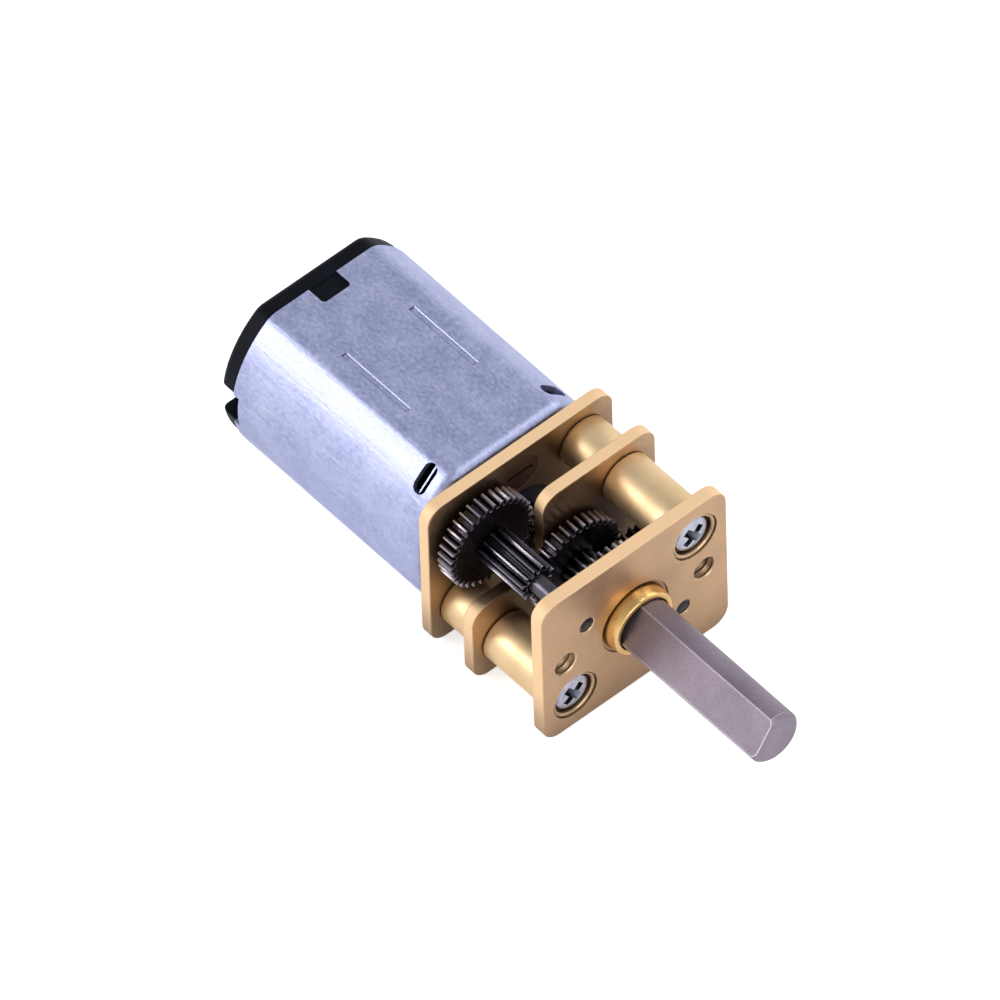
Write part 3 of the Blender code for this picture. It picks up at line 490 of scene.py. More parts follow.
def finish(bm, node, material, smooth_angle=38.0, bevel=0.0):
    """Makes the piece that stands for a CAD node, in metres, riding on the node's body."""
    bmesh.ops.recalc_face_normals(bm, faces=bm.faces)
    placed = Matrix.Translation((SHAFT_X, 0.0, SHAFT_Z)) @ Matrix.Scale(MM, 4)
    bmesh.ops.transform(bm, matrix=placed, verts=bm.verts)
    mesh = mesh_from(bm, node + "_fine")
    mesh.shade_smooth()
    mesh.set_sharp_from_angle(angle=math.radians(smooth_angle))
    mesh.materials.append(material)
    piece = add_object(node + "_fine", mesh)
    if bevel:
        modifier = piece.modifiers.new("edges", "BEVEL")
        modifier.width = bevel * MM
        modifier.segments = 2
        modifier.limit_method = "ANGLE"
        modifier.angle_limit = math.radians(smooth_angle)
        modifier.harden_normals = False
    weighted = piece.modifiers.new("normals", "WEIGHTED_NORMAL")
    weighted.keep_sharp = True
    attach(piece, BODY_OF[node])
    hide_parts(node)


# ---- materials ----

TURNING = (1.0, 6.0, 1.0)  # a grain squeezed along Y, as a lathe leaves it


class Nodes:
    """A material's node tree with short calls for the nodes used here. Places are in millimetres."""

    def __init__(self, name):
        self.material = bpy.data.materials.new(name)
        self.material.use_nodes = True
        self.tree = self.material.node_tree
        self.shader = self.tree.nodes["Principled BSDF"]
        place = self.add("TexCoord").outputs["Object"]
        self.place = self.scaled(place, (1.0 / MM,) * 3)

    def add(self, kind):
        return self.tree.nodes.new("ShaderNode" + kind)

    def link(self, output, socket):
        self.tree.links.new(output, socket)

    def feed(self, socket, value):
        """Links another node's output to an input, or sets the input's own value."""
        if hasattr(value, "is_linked"):
            self.link(value, socket)
        else:
            socket.default_value = value

    def set(self, name, value):
        self.feed(self.shader.inputs[name], value)

    def scaled(self, vector, scale):
        node = self.add("Mapping")
        node.inputs["Scale"].default_value = scale
        self.link(vector, node.inputs["Vector"])
        return node.outputs["Vector"]

    def noise(self, scale, stretch=(1.0, 1.0, 1.0), detail=4.0):
        node = self.add("TexNoise")
        node.inputs["Scale"].default_value = scale
        node.inputs["Detail"].default_value = detail
        self.link(self.scaled(self.place, stretch), node.inputs["Vector"])
        return node.outputs["Fac"]

    def between(self, value, low, high, out_low=0.0, out_high=1.0):
        node = self.add("MapRange")
        ends = {"From Min": low, "From Max": high, "To Min": out_low, "To Max": out_high}
        for name, number in ends.items():
            node.inputs[name].default_value = number
        self.link(value, node.inputs["Value"])
        return node.outputs["Result"]

    def mixed(self, factor, first, second):
        node = self.add("Mix")
        node.data_type = "RGBA"
        self.link(factor, node.inputs["Factor"])
        for name, colour in (("A", first), ("B", second)):
            socket = next(s for s in node.inputs if s.name == name and s.type == "RGBA")
            self.feed(socket, colour if hasattr(colour, "is_linked") else (*colour, 1.0))
        return next(s for s in node.outputs if s.type == "RGBA")

    def maths(self, operation, first, second):
        node = self.add("Math")
        node.operation = operation
        for socket, value in zip(node.inputs, (first, second)):
            self.feed(socket, value)
        return node.outputs["Value"]

    def wear_and_highlight(self, reach=EDGE_WEAR_AND_HIGHLIGHT):
        """Worn tooth tips, from the mesh, and worn edges, where a rounded normal leaves the true one; the pale
        colour they get is also a painted highlight.
        """
        tips = self.add("Attribute")
        tips.attribute_name = "wear_and_highlight"
        rounded = self.add("Bevel")
        rounded.samples = 4
        rounded.inputs["Radius"].default_value = reach * MM
        true = self.add("NewGeometry")
        alike = self.add("VectorMath")
        alike.operation = "DOT_PRODUCT"
        self.link(rounded.outputs["Normal"], alike.inputs[0])
        self.link(true.outputs["Normal"], alike.inputs[1])
        return self.maths("MAXIMUM", tips.outputs["Fac"], self.between(alike.outputs["Value"], 0.99, 0.90))

    def occlusion_shade(self, reach, open_at=0.75):
        """How closed in a point is by what lies within a reach in millimetres: the mask for painted shade in gaps
        and recesses.
        """
        node = self.add("AmbientOcclusion")
        node.samples = 4
        node.inputs["Distance"].default_value = reach * MM
        return self.between(node.outputs["AO"], 0.2, open_at, 1.0, 0.0)

    def facing(self, low, high):
        """How far a surface turns away from the Y axis, from a plate's faces round to its edges."""
        geometry = self.add("NewGeometry")
        separate = self.add("SeparateXYZ")
        self.link(geometry.outputs["Normal"], separate.inputs["Vector"])
        return self.between(self.maths("ABSOLUTE", separate.outputs["Y"], 0.0), low, high)

    def along_y(self):
        separate = self.add("SeparateXYZ")
        self.link(self.place, separate.inputs["Vector"])
        return separate.outputs["Y"]

    def bump(self, height, depth):
        """Grain of a depth in millimetres."""
        node = self.add("Bump")
        node.inputs["Distance"].default_value = depth * MM
        self.link(height, node.inputs["Height"])
        self.link(node.outputs["Normal"], self.shader.inputs["Normal"])


def metal(name, colour, tint, worn_and_highlight, roughness, grain=9.0, depth=0.003, speckle=0.3, stretch=(1.0, 1.0, 1.0),
          edge=None, edge_roughness=0.0, painted_shade=0.8, reach=0.45, open_at=0.75, wear_and_highlight_reach=EDGE_WEAR_AND_HIGHLIGHT):
    """A metal that drifts between two tones, with worn edges that also carry painted highlights, painted shade in
    its crevices and a fine grain.

    Surfaces that turn away from the Y axis, such as a sheet's sheared edges, can have their own colour.
    """
    nodes = Nodes(name)
    fine = nodes.noise(grain, stretch, 5.0)
    base = nodes.mixed(nodes.between(nodes.noise(0.5), 0.35, 0.65), colour, tint)
    smudge = nodes.between(nodes.noise(1.1), 0.3, 0.7, -0.04, 0.05)
    rough = nodes.maths("ADD", nodes.between(fine, 0.25, 0.75, roughness - 0.05, roughness + 0.05), smudge)
    closed = nodes.occlusion_shade(reach, open_at)
    if edge:
        # The sideways colour is kept off closed-in walls, which stay in painted shade.
        sideways = nodes.maths("MULTIPLY", nodes.facing(0.8, 0.3), nodes.between(closed, 0.0, 0.4, 1.0, 0.0))
        base = nodes.mixed(sideways, base, edge)
        rough = nodes.maths("ADD", rough, nodes.between(sideways, 0.0, 1.0, 0.0, edge_roughness))
    base = nodes.mixed(nodes.between(fine, 0.35, 0.75, 0.0, speckle), base, worn_and_highlight)
    # Worn edges and tooth tips turn pale, which also paints highlights onto them.
    base = nodes.mixed(nodes.wear_and_highlight(wear_and_highlight_reach), base, worn_and_highlight)
    # Painted shade: closed-in surfaces are darkened towards a dark tone of the metal.
    shade_mask = nodes.between(closed, 0.0, 1.0, 0.0, painted_shade)
    nodes.set("Base Color", nodes.mixed(shade_mask, base, tuple(0.12 * channel for channel in colour)))
    nodes.set("Metallic", 1.0)
    nodes.set("Roughness", rough)
    nodes.bump(fine, depth)
    return nodes.material


def zinc_plate(name):
    """The can's zinc plating: cloudy lavender grey with pale spangles and fine scratches.

    Its boss, the deep gaps and the shallow pressed marks are darkened by painted shade, and its edges are worn
    paler with a painted highlight.
    """
    rolled = (1.0, 0.6, 1.0)
    drawn = (1.0, 0.08, 1.0)
    nodes = Nodes(name)
    cloud = nodes.between(nodes.noise(0.9, rolled, 8.0), 0.35, 0.68)
    base = nodes.mixed(cloud, (0.42, 0.45, 0.69), (0.53, 0.56, 0.78))
    spangle = nodes.noise(6.0, rolled, 6.0)
    base = nodes.mixed(nodes.between(spangle, 0.48, 0.75, 0.0, 0.6), base, (0.70, 0.71, 0.84))
    base = nodes.mixed(nodes.between(spangle, 0.44, 0.25, 0.0, 0.5), base, (0.26, 0.27, 0.45))
    scratch = nodes.noise(5.0, drawn, 3.0)
    base = nodes.mixed(nodes.between(scratch, 0.64, 0.72, 0.0, 0.35), base, (0.85, 0.86, 0.94))
    # Edges worn paler, which also paints a highlight along them.
    base = nodes.mixed(nodes.between(nodes.wear_and_highlight(0.02), 0.0, 1.0, 0.0, 0.4), base, (0.86, 0.87, 0.96))
    # Painted shade on the boss, in the pressed marks, where it damps their glint, and in the deep gaps.
    boss = nodes.between(nodes.along_y(), CAN_FRONT - 0.02, CAN_FRONT - 0.12)
    pressed = nodes.between(nodes.occlusion_shade(0.12, 1.0), 0.05, 0.30, 0.0, 0.75)
    shade_mask = nodes.maths("MAXIMUM", nodes.maths("MAXIMUM", boss, pressed), nodes.occlusion_shade(0.7))
    shade_mask = nodes.between(shade_mask, 0.0, 1.0, 0.0, 0.92)
    nodes.set("Base Color", nodes.mixed(shade_mask, base, (0.012, 0.012, 0.018)))
    nodes.set("Metallic", 1.0)
    rough = nodes.between(cloud, 0.0, 1.0, 0.42, 0.50)
    nodes.set("Roughness", nodes.maths("ADD", rough, nodes.between(spangle, 0.3, 0.7, -0.07, 0.07)))
    nodes.bump(nodes.maths("ADD", spangle, scratch), 0.012)
    return nodes.material


def plastic(name, colour, tint, roughness):
    """Moulded plastic with a fine spark-eroded grain and edges rubbed paler, which also paints a highlight along
    them.
    """
    nodes = Nodes(name)
    grain = nodes.noise(14.0, detail=3.0)
    base = nodes.mixed(nodes.between(nodes.noise(0.8), 0.3, 0.7), colour, tint)
    # Edges rubbed paler, partly a painted highlight.
    rubbed_and_highlight = nodes.between(nodes.wear_and_highlight(), 0.0, 1.0, 0.0, 0.5)
    nodes.set("Base Color", nodes.mixed(rubbed_and_highlight, base, tuple(3.0 * channel for channel in tint)))
    nodes.set("Roughness", nodes.between(grain, 0.3, 0.7, roughness - 0.08, roughness + 0.08))
    nodes.set("Specular IOR Level", 0.12)
    nodes.bump(grain, 0.006)
    return nodes.material


def plate_brass():
    """Satin sheet brass with pale sheared edges, dark in the shade between the plates."""
    return metal("plate", (0.63, 0.39, 0.215), (0.56, 0.35, 0.20), (1.0, 0.80, 0.52), 0.38, grain=10.0,
                 speckle=0.25, edge=(1.0, 0.74, 0.46), edge_roughness=0.32, painted_shade=0.78, reach=4.0,
                 open_at=0.92)


def turned_brass():
    return metal("turned", (0.96, 0.71, 0.41), (0.86, 0.62, 0.34), (1.0, 0.86, 0.60), 0.47, grain=3.0,
                 depth=0.001, speckle=0.12, stretch=TURNING, painted_shade=0.6)


def bush_brass():
    """The bush's yellower, smoother brass, with a line of painted shade in its recess."""
    return metal("bush", (0.94, 0.60, 0.22), (0.82, 0.50, 0.17), (1.0, 0.84, 0.50), 0.24, grain=4.0,
                 depth=0.001, speckle=0.15, stretch=TURNING, painted_shade=0.80, reach=0.9, open_at=0.70)


def shaft_steel():
    # A painted highlight along its edges, reaching down the flat's ridge, and painted shade in its crevices.
    return metal("shaft", (0.285, 0.232, 0.273), (0.24, 0.195, 0.23), (0.84, 0.79, 0.90), 0.46, grain=16.0,
                 depth=0.008, speckle=0.22, painted_shade=0.9, wear_and_highlight_reach=0.12)


def wheel_steel():
    return metal("gear", (0.066, 0.056, 0.066), (0.050, 0.043, 0.052), (0.42, 0.38, 0.42), 0.34, grain=8.0,
                 speckle=0.03, reach=0.8)


def pinion_steel():
    """Near-black steel whose tooth flanks are paler than its end faces."""
    return metal("pinion", (0.024, 0.021, 0.026), (0.018, 0.016, 0.02), (0.60, 0.57, 0.66), 0.22, grain=6.0,
                 speckle=0.04, edge=(0.11, 0.10, 0.12), edge_roughness=0.06, painted_shade=0.95)


def screw_steel():
    """Bright, mottled plating with painted shade down in the cross recess."""
    return metal("screw", (0.52, 0.53, 0.62), (0.30, 0.30, 0.38), (0.86, 0.87, 0.95), 0.26, grain=2.4,
                 depth=0.010, speckle=0.6, painted_shade=0.99, reach=1.1, open_at=0.85)


def motor_screw_brass():
    """The colour of the rear plate, in which the motor screws sit flush, with the plate's painted shade where
    closed in.
    """
    return metal("dark_screw", (0.62, 0.36, 0.20), (0.54, 0.32, 0.18), (0.62, 0.36, 0.20), 0.4, grain=6.0,
                 painted_shade=0.92, reach=4.0, open_at=0.92)


def sintered_bronze():
    return metal("bronze", (0.45, 0.27, 0.14), (0.36, 0.22, 0.12), (0.60, 0.42, 0.26), 0.50, grain=16.0)


def ferrite():
    return metal("magnet", (0.06, 0.06, 0.07), (0.05, 0.05, 0.05), (0.14, 0.14, 0.15), 0.65, grain=12.0)


def wound_copper():
    return metal("copper", (0.72, 0.32, 0.15), (0.62, 0.26, 0.12), (0.86, 0.50, 0.32), 0.30, grain=5.0,
                 stretch=TURNING)


def stacked_laminations():
    """Core steel whose grain is squeezed along Y into the lines between its sheets."""
    return metal("laminations", (0.32, 0.33, 0.35), (0.26, 0.27, 0.29), (0.5, 0.5, 0.52), 0.42, grain=2.0,
                 depth=0.012, stretch=(1.0, 30.0, 1.0))


def spring_wire():
    return metal("spring", (0.55, 0.55, 0.58), (0.48, 0.48, 0.51), (0.75, 0.75, 0.77), 0.28, grain=6.0,
                 stretch=TURNING)


def make_materials():
    return {
        "plate": plate_brass(),
        "turned": turned_brass(),
        "bush": bush_brass(),
        "can": zinc_plate("can"),
        "shaft": shaft_steel(),
        "gear": wheel_steel(),
        "pinion": pinion_steel(),
        "screw": screw_steel(),
        "motor_screw": motor_screw_brass(),
        "bronze": sintered_bronze(),
        "magnet": ferrite(),
        "copper": wound_copper(),
        "laminations": stacked_laminations(),
        "spring": spring_wire(),
        "plastic": plastic("plastic", (0.0012, 0.0022, 0.0055), (0.002, 0.0032, 0.0075), 0.5),
    }


# ---- gearbox frame ----

def countersunk_recess(y_high):
    """A step with a low ridge round the screw head's hole, then the screw's clearance hole."""
    head = HEAD_RADIUS + HEAD_GAP
    step = RECESS_DEPTH / 3.0
    ridge = FACE + step * (1.0 - RIDGE_HEIGHT)
    ridge_outer = RECESS_RADIUS - RECESS_LEDGE
    bottom = FACE + RECESS_DEPTH
    return [(FACE, RECESS_RADIUS + RECESS_DRAFT), (FACE + step, RECESS_RADIUS), (FACE + step, ridge_outer),
            (ridge, ridge_outer - RECESS_DRAFT), (ridge, head + RIDGE_GAP),
            (FACE + step, head), (bottom, head),
            (bottom, SCREW_RADIUS + CLEARANCE), (y_high, SCREW_RADIUS + CLEARANCE)]


def bush_seat(y_high):
    """The bush's hole and the shallow recess round its rim."""
    edge = 0.03
    recess = half_width("output_bush") + BUSH_GAP
    body = half_width("output_bush") - BUSH_LIP + CLEARANCE
    return [(FACE, recess + edge), (FACE + edge, recess), (FACE + BUSH_SINK, recess),
            (FACE + BUSH_SINK, body), (y_high, body)]


def make_front_plate(materials):
    y_high = FRONT_PLATE[1]
    holes = [((side * MOUNT_HOLE_X, 0.0), threaded_hole(*FRONT_PLATE)) for side in (1, -1)]
    holes += [(middle, countersunk_recess(y_high)) for middle in SPACERS.values()]
    holes += [((0.0, 0.0), bush_seat(y_high))]
    axle = plain_hole(AXLE_RADIUS + CLEARANCE, *FRONT_PLATE)
    holes += [(axis_of(node), axle) for node in ("first_pinion_shaft", "third_pinion_shaft")]
    finish(sheet(plate_outline(), rim(*FRONT_PLATE, PLATE_EDGE), holes), "front_plate", materials["plate"])


def make_middle_plate(materials):
    screw, journal, axle = [plain_hole(radius + CLEARANCE, *MIDDLE_PLATE)
                            for radius in (SCREW_RADIUS, JOURNAL_RADIUS, AXLE_RADIUS)]
    holes = [(middle, screw) for middle in SPACERS.values()]
    holes += [((0.0, 0.0), journal), (axis_of("third_pinion_shaft"), axle)]
    plate = sheet(cut_plate_outline(), rim(*MIDDLE_PLATE, PLATE_EDGE), holes)
    finish(plate, "middle_plate", materials["plate"])


def make_rear_plate(materials):
    y_low, y_high = REAR_PLATE
    holes = [(middle, plain_hole(SCREW_RADIUS + SEAT_GAP, y_low, y_high)) for middle in SPACERS.values()]
    holes += [((0.0, 0.0), plain_hole(CAN_BOSS_RADIUS + CLEARANCE, y_low, y_high))]
    holes += [(axis_of("first_pinion_shaft"), plain_hole(AXLE_RADIUS + CLEARANCE, y_low, y_high))]
    head = half_width("motor_screw_upper") + CLEARANCE
    shank = MOTOR_SCREW_RADIUS + CLEARANCE
    countersink = [(y_low, head), (y_low + MOTOR_SCREW_SINK, shank), (y_high, shank)]
    holes += [(centre("motor_screw_" + side), countersink) for side in SPACERS]
    finish(sheet(plate_outline(), rim(y_low, y_high, PLATE_EDGE), holes), "rear_plate", materials["plate"])


def make_spacer(node, materials):
    y_low, y_high = span(node)
    bore = SCREW_RADIUS + CLEARANCE
    radius = half_width(node)
    front = [(y_low + depth, radius - inset) for depth, inset in SPACER_EDGE]
    rear = [(y_high - depth, radius - inset) for depth, inset in reversed(SPACER_EDGE)]
    profile = [(y_low, bore)] + front + rear + [(y_high, bore)]
    finish(lathe(profile, centre(node), hollow=True), node, materials["turned"])


def cross_outline(arm, half_arm, middle):
    points = []
    for quarter in range(4):
        along = Vector((math.cos(quarter * RIGHT_ANGLE), math.sin(quarter * RIGHT_ANGLE)))
        across = Vector((-along.y, along.x)) * half_arm
        for point in (along * arm - across, along * arm + across, along * half_arm + across):
            points.append((point.x + middle[0], point.y + middle[1]))
    return points


def make_gearbox_screw(node, materials):
    """A long screw with a low domed head and a cross recess that narrows inwards."""
    middle = centre(node)
    face, end = span(node)
    seat = FACE + RECESS_DEPTH - FACE_GAP
    dome = [(face + depth, HEAD_RADIUS * share) for depth, share in HEAD_DOME]
    shank = [(seat, HEAD_RADIUS), (seat, SCREW_RADIUS), (end - SCREW_POINT, SCREW_RADIUS),
             (end, SCREW_RADIUS - SCREW_POINT), (end, 0.0)]
    sections = []
    for side in (-1, 1):
        arm = CROSS_ARM * (1.0 - side * CROSS_ARM_TAPER)
        half_arm = CROSS_HALF_WIDTH * (1.0 - side * CROSS_WIDTH_TAPER)
        sections.append((face + side * CROSS_DEPTH, cross_outline(arm, half_arm, middle)))
    cross = turned(loft(sections), HEAD_CROSS_ANGLE, middle)
    finish(cut(lathe(dome + shank, middle), cross), node, materials["screw"])


def make_output_bush(materials):
    y_low, y_high = span("output_bush")
    bore = SHAFT_RADIUS + CLEARANCE
    rim_radius = half_width("output_bush")
    body = rim_radius - BUSH_LIP
    seat = FACE + BUSH_SINK - FACE_GAP
    profile = softened([(y_high, bore), (y_low, bore), (y_low, rim_radius - BUSH_TAPER), (seat, rim_radius),
                        (seat, body), (y_high, body)], BUSH_ROUNDING)
    finish(lathe(profile, steps=96, hollow=True), "output_bush", materials["bush"])


# ---- gears ----

def gear_body(teeth, phase, middle, y_low, y_high, holes=()):
    """A toothed blank whose tooth tips are marked for wear and a painted highlight."""
    outline = gear_outline(teeth, phase, middle)
    bm = sheet(outline, rim(y_low, y_high, TOOTH_EDGE, 2), holes, 40)
    layer = bm.verts.layers.float.new("wear_and_highlight")
    root = MODULE * teeth / 2.0 - DEDENDUM
    tip = MODULE * teeth / 2.0 + MODULE
    for vert in bm.verts:
        radius = math.hypot(vert.co.x - middle[0], vert.co.z - middle[1])
        height = (radius - root) / (tip - root)
        vert[layer] = min(1.0, max(0.0, height * TIP_WEAR_AND_HIGHLIGHT - (TIP_WEAR_AND_HIGHLIGHT - 1.0)))
    return bm


def pinion_phase(pinion):
    """The phase at which a pinion meshes with the wheel it drives, which has a tooth at angle 0."""
    teeth = PINION_TEETH[pinion]
    return meshing_phase(PAIR_TEETH - teeth, axis_of(DRIVEN[pinion]), teeth, axis_of(pinion))


def make_wheel(pinion, materials):
    """The wheel that a pinion drives."""
    node = DRIVEN[pinion]
    middle = axis_of(node)
    y_low, y_high = span(node)
    hole = [(middle, plain_hole(WHEEL_SEAT[node] + SEAT_GAP, y_low, y_high, WHEEL_BORE_EDGE))]
    wheel = gear_body(PAIR_TEETH - PINION_TEETH[pinion], 0.0, middle, y_low, y_high, hole)
    finish(wheel, node, materials["gear"], GEAR_SHARP_ANGLE)


def make_toothed_shaft(node, tooth_span, profile, materials):
    """A turned shaft with a pinion's teeth cut in one length of it."""
    middle = axis_of(node)
    blank = lathe(softened(profile, PINION_ROUNDING, 2), middle, 48)
    toothed = gear_body(PINION_TEETH[node], pinion_phase(node), middle, *tooth_span)
    finish(joined(blank, toothed), node, materials["pinion"], GEAR_SHARP_ANGLE)


def make_first_pinion_shaft(materials):
    """A long pinion on a spindle, with a seat for the first wheel and an axle at each end."""
    low, high = span("first_pinion_shaft")
    wheel_low, wheel_high = span("first_wheel")
    seat = WHEEL_SEAT["first_wheel"]
    spindle_start = low + 0.9
    teeth_start, teeth_end = low + 3.55, wheel_low - 0.15
    seat_start, seat_end = teeth_start + 0.1, wheel_high + 0.1
    profile = [(low, 0.0), (low, AXLE_RADIUS), (spindle_start, AXLE_RADIUS), (spindle_start, SPINDLE_RADIUS),
               (seat_start, SPINDLE_RADIUS), (seat_start, seat), (seat_end, seat), (seat_end, AXLE_RADIUS),
               (high, AXLE_RADIUS), (high, 0.0)]
    make_toothed_shaft("first_pinion_shaft", (teeth_start, teeth_end), profile, materials)


def make_second_pinion(materials):
    """A pinion with a sleeve for the second wheel, running free on the output shaft's journal."""
    node = "second_pinion"
    middle = axis_of(node)
    low, high = span(node)
    teeth = (low, span("second_wheel")[0] - 0.05)
    sleeve_start = low + 0.1
    bore, seat = JOURNAL_RADIUS + CLEARANCE, WHEEL_SEAT["second_wheel"]
    profile = [(sleeve_start, bore), (sleeve_start, seat), (high, seat), (high, bore)]
    sleeve = lathe(profile, middle, 48, hollow=True)
    hole = [(middle, plain_hole(bore, *teeth))]
    toothed = gear_body(PINION_TEETH[node], pinion_phase(node), middle, *teeth, hole)
    finish(joined(toothed, sleeve), node, materials["pinion"], GEAR_SHARP_ANGLE)


def make_third_pinion_shaft(materials):
    """A pinion with a seat for the third wheel and an axle at each end."""
    low, high = span("third_pinion_shaft")
    wheel_low, wheel_high = span("third_wheel")
    seat = WHEEL_SEAT["third_wheel"]
    teeth_start, teeth_end = low + 0.95, wheel_low - 0.03
    seat_start, seat_end = teeth_start + 0.1, wheel_high + 0.1
    profile = [(low, 0.0), (low, AXLE_RADIUS), (seat_start, AXLE_RADIUS), (seat_start, seat),
               (seat_end, seat), (seat_end, AXLE_RADIUS), (high, AXLE_RADIUS), (high, 0.0)]
    make_toothed_shaft("third_pinion_shaft", (teeth_start, teeth_end), profile, materials)


def make_motor_pinion(materials):
    node = "motor_pinion"
    middle = axis_of(node)
    low, high = span(node)
    hole = [(middle, plain_hole(MOTOR_SHAFT_RADIUS + SEAT_GAP, low, high, WHEEL_BORE_EDGE))]
    pinion = gear_body(PINION_TEETH[node], pinion_phase(node), middle, low, high, hole)
    finish(pinion, node, materials["pinion"], GEAR_SHARP_ANGLE)


def make_gears(materials):
    for pinion in PINION_TEETH:
        make_wheel(pinion, materials)
    make_first_pinion_shaft(materials)
    make_second_pinion(materials)
    make_third_pinion_shaft(materials)
    make_motor_pinion(materials)


def make_output_shaft(materials):
    """A chamfered shaft with one flat, then the output wheel's seat, a collar and a thin journal."""
    tip, end = span("output_shaft")
    wheel_low, wheel_high = span("output_wheel")
    seat = WHEEL_SEAT["output_wheel"]
    collar, collar_length = SHAFT_COLLAR
    collar_end = wheel_high + collar_length
    profile = [(tip, 0.0), (tip, SHAFT_RADIUS - SHAFT_CHAMFER), (tip + SHAFT_CHAMFER, SHAFT_RADIUS),
               (wheel_low - FACE_GAP, SHAFT_RADIUS), (wheel_low - FACE_GAP, seat), (wheel_high, seat),
               (wheel_high, collar), (collar_end, collar), (collar_end, JOURNAL_RADIUS),
               (end, JOURNAL_RADIUS), (end, 0.0)]
    wide = 2 * SHAFT_RADIUS
    flat = box(SHAFT_FLAT, wide, tip - PAST, FRONT_PLATE[1], -wide, wide)
    shaft = cut(lathe(softened(profile, SHAFT_ROUNDING), steps=96), turned(flat, SHAFT_FLAT_ANGLE))
    finish(shaft, "output_shaft", materials["shaft"], 25.0)


# ---- motor can ----

def can_outline(inset):
    """The can's outline: two arcs joined to the top and bottom flats by fillets, moved inwards."""
    fillet_z = CAN_HALF_HEIGHT - CAN_FILLET
    fillet_x = math.sqrt((CAN_RADIUS - CAN_FILLET) ** 2 - fillet_z ** 2)
    turn = math.atan2(fillet_z, fillet_x)
    half, small = CAN_RADIUS - inset, CAN_FILLET - inset
    right = arc(small, -RIGHT_ANGLE, -turn, 10, (fillet_x, -fillet_z))[:-1]
    right += arc(half, -turn, turn, 56)
    right += arc(small, turn, RIGHT_ANGLE, 10, (fillet_x, fillet_z))[1:]
    return right + [(-x, -z) for x, z in right]


def can_solid(inset, shoulder, y_front, y_rear):
    """The can's outline run back from a rounded shoulder."""
    steps = 8
    sections = []
    for i in range(steps + 1):
        turn = RIGHT_ANGLE * i / steps
        sections.append((y_front + shoulder * (1.0 - math.sin(turn)),
                         can_outline(inset + shoulder * (1.0 - math.cos(turn)))))
    sections.sort(key=lambda section: section[0])
    return loft(sections + [(y_rear, can_outline(inset))])


def radial_prism(outline, inner, outer, angle):
    """A prism whose outline, as (length round the can, y), is pushed out along a radius."""
    along = Vector((-math.sin(angle), 0.0, math.cos(angle)))
    outwards = Vector((math.cos(angle), 0.0, math.sin(angle)))
    bm = bmesh.new()
    rings = []
    for radius in (inner, outer):
        middle = outwards * radius
        rings.append([bm.verts.new(along * s + middle + Vector((0.0, y, 0.0))) for s, y in outline])
    bridge(bm, *rings)
    bm.faces.new(rings[0])
    bm.faces.new(rings[1])
    return bm


def can_shell():
    """A drawn can with a rounded shoulder, a wall of even thickness and a solid bearing boss."""
    can = cut(can_solid(0.0, CAN_SHOULDER, CAN_FRONT, CAN_REAR),
              can_solid(CAN_WALL, CAN_SHOULDER - CAN_WALL, CAN_FRONT + CAN_WALL, CAN_REAR + PAST))
    start, end = CAN_FRONT - CAN_BOSS_LENGTH, span("front_bearing")[1]
    boss = [(start, 0.0), (start, CAN_BOSS_RADIUS), (end, CAN_BOSS_RADIUS), (end, 0.0)]
    return joined(can, lathe(softened(boss, CAN_BOSS_ROUNDING)))


def front_bearing_seat():
    """The hole through the boss, wider where the bearing sits."""
    bearing_low, bearing_high = span("front_bearing")
    seat = half_width("front_bearing") + SEAT_GAP
    start, end = CAN_FRONT - PAST, bearing_high + PAST
    return lathe([(start, 0.0), (start, CAN_SHAFT_HOLE), (bearing_low - FACE_GAP, CAN_SHAFT_HOLE),
                  (bearing_low - FACE_GAP, seat), (end, seat), (end, 0.0)])


def motor_screw_hole(side):
    hole = circle(MOTOR_SCREW_RADIUS + SEAT_GAP, centre("motor_screw_" + side))
    return loft([(CAN_FRONT - PAST, hole), (CAN_FRONT + PAST, hole)])


def top_notch(side):
    half, length = TOP_NOTCH
    outline = rounded_rectangle(-half, half, CAN_REAR - length, CAN_REAR + PAST, NOTCH_CORNER)
    return radial_prism(outline, CAN_HALF_HEIGHT - 2 * CAN_WALL, CAN_HALF_HEIGHT + PAST, side * RIGHT_ANGLE)


def side_notch(side):
    half, length = SIDE_NOTCH
    notch_x = sorted((side * (CAN_RADIUS - 4 * CAN_WALL), side * (CAN_RADIUS + PAST)))
    return box(*notch_x, CAN_REAR - length, CAN_REAR + PAST, -half, half)


def vent(angle):
    length, width = VENT
    oval = rounded_rectangle(-length, length, VENT_Y - width, VENT_Y + width, width - SEAT_GAP)
    return radial_prism(oval, CAN_RADIUS - PAST, CAN_RADIUS + PAST, angle)


def vent_bar(angle):
    """A thin bar across a vent, sunk below the can's surface."""
    length, half = VENT[0] + CAN_WALL, VENT_BAR_HALF_WIDTH
    outline = rounded_rectangle(-length, length, VENT_Y - half, VENT_Y + half, half / 2, 2)
    return radial_prism(outline, CAN_RADIUS - CAN_WALL, CAN_RADIUS - VENT_BAR_SINK, angle)


def pressed_mark(x):
    """A shallow groove along the top flat, with sloping sides."""
    above, below = CAN_HALF_HEIGHT + MARK_DEPTH, CAN_HALF_HEIGHT - MARK_DEPTH
    wide, narrow = MARK_WIDTH - MARK_FLOOR / 2, MARK_FLOOR / 2
    section = [(x - wide, above), (x - narrow, below), (x + narrow, below), (x + wide, above)]
    return loft([(y, section) for y in MARK_Y])


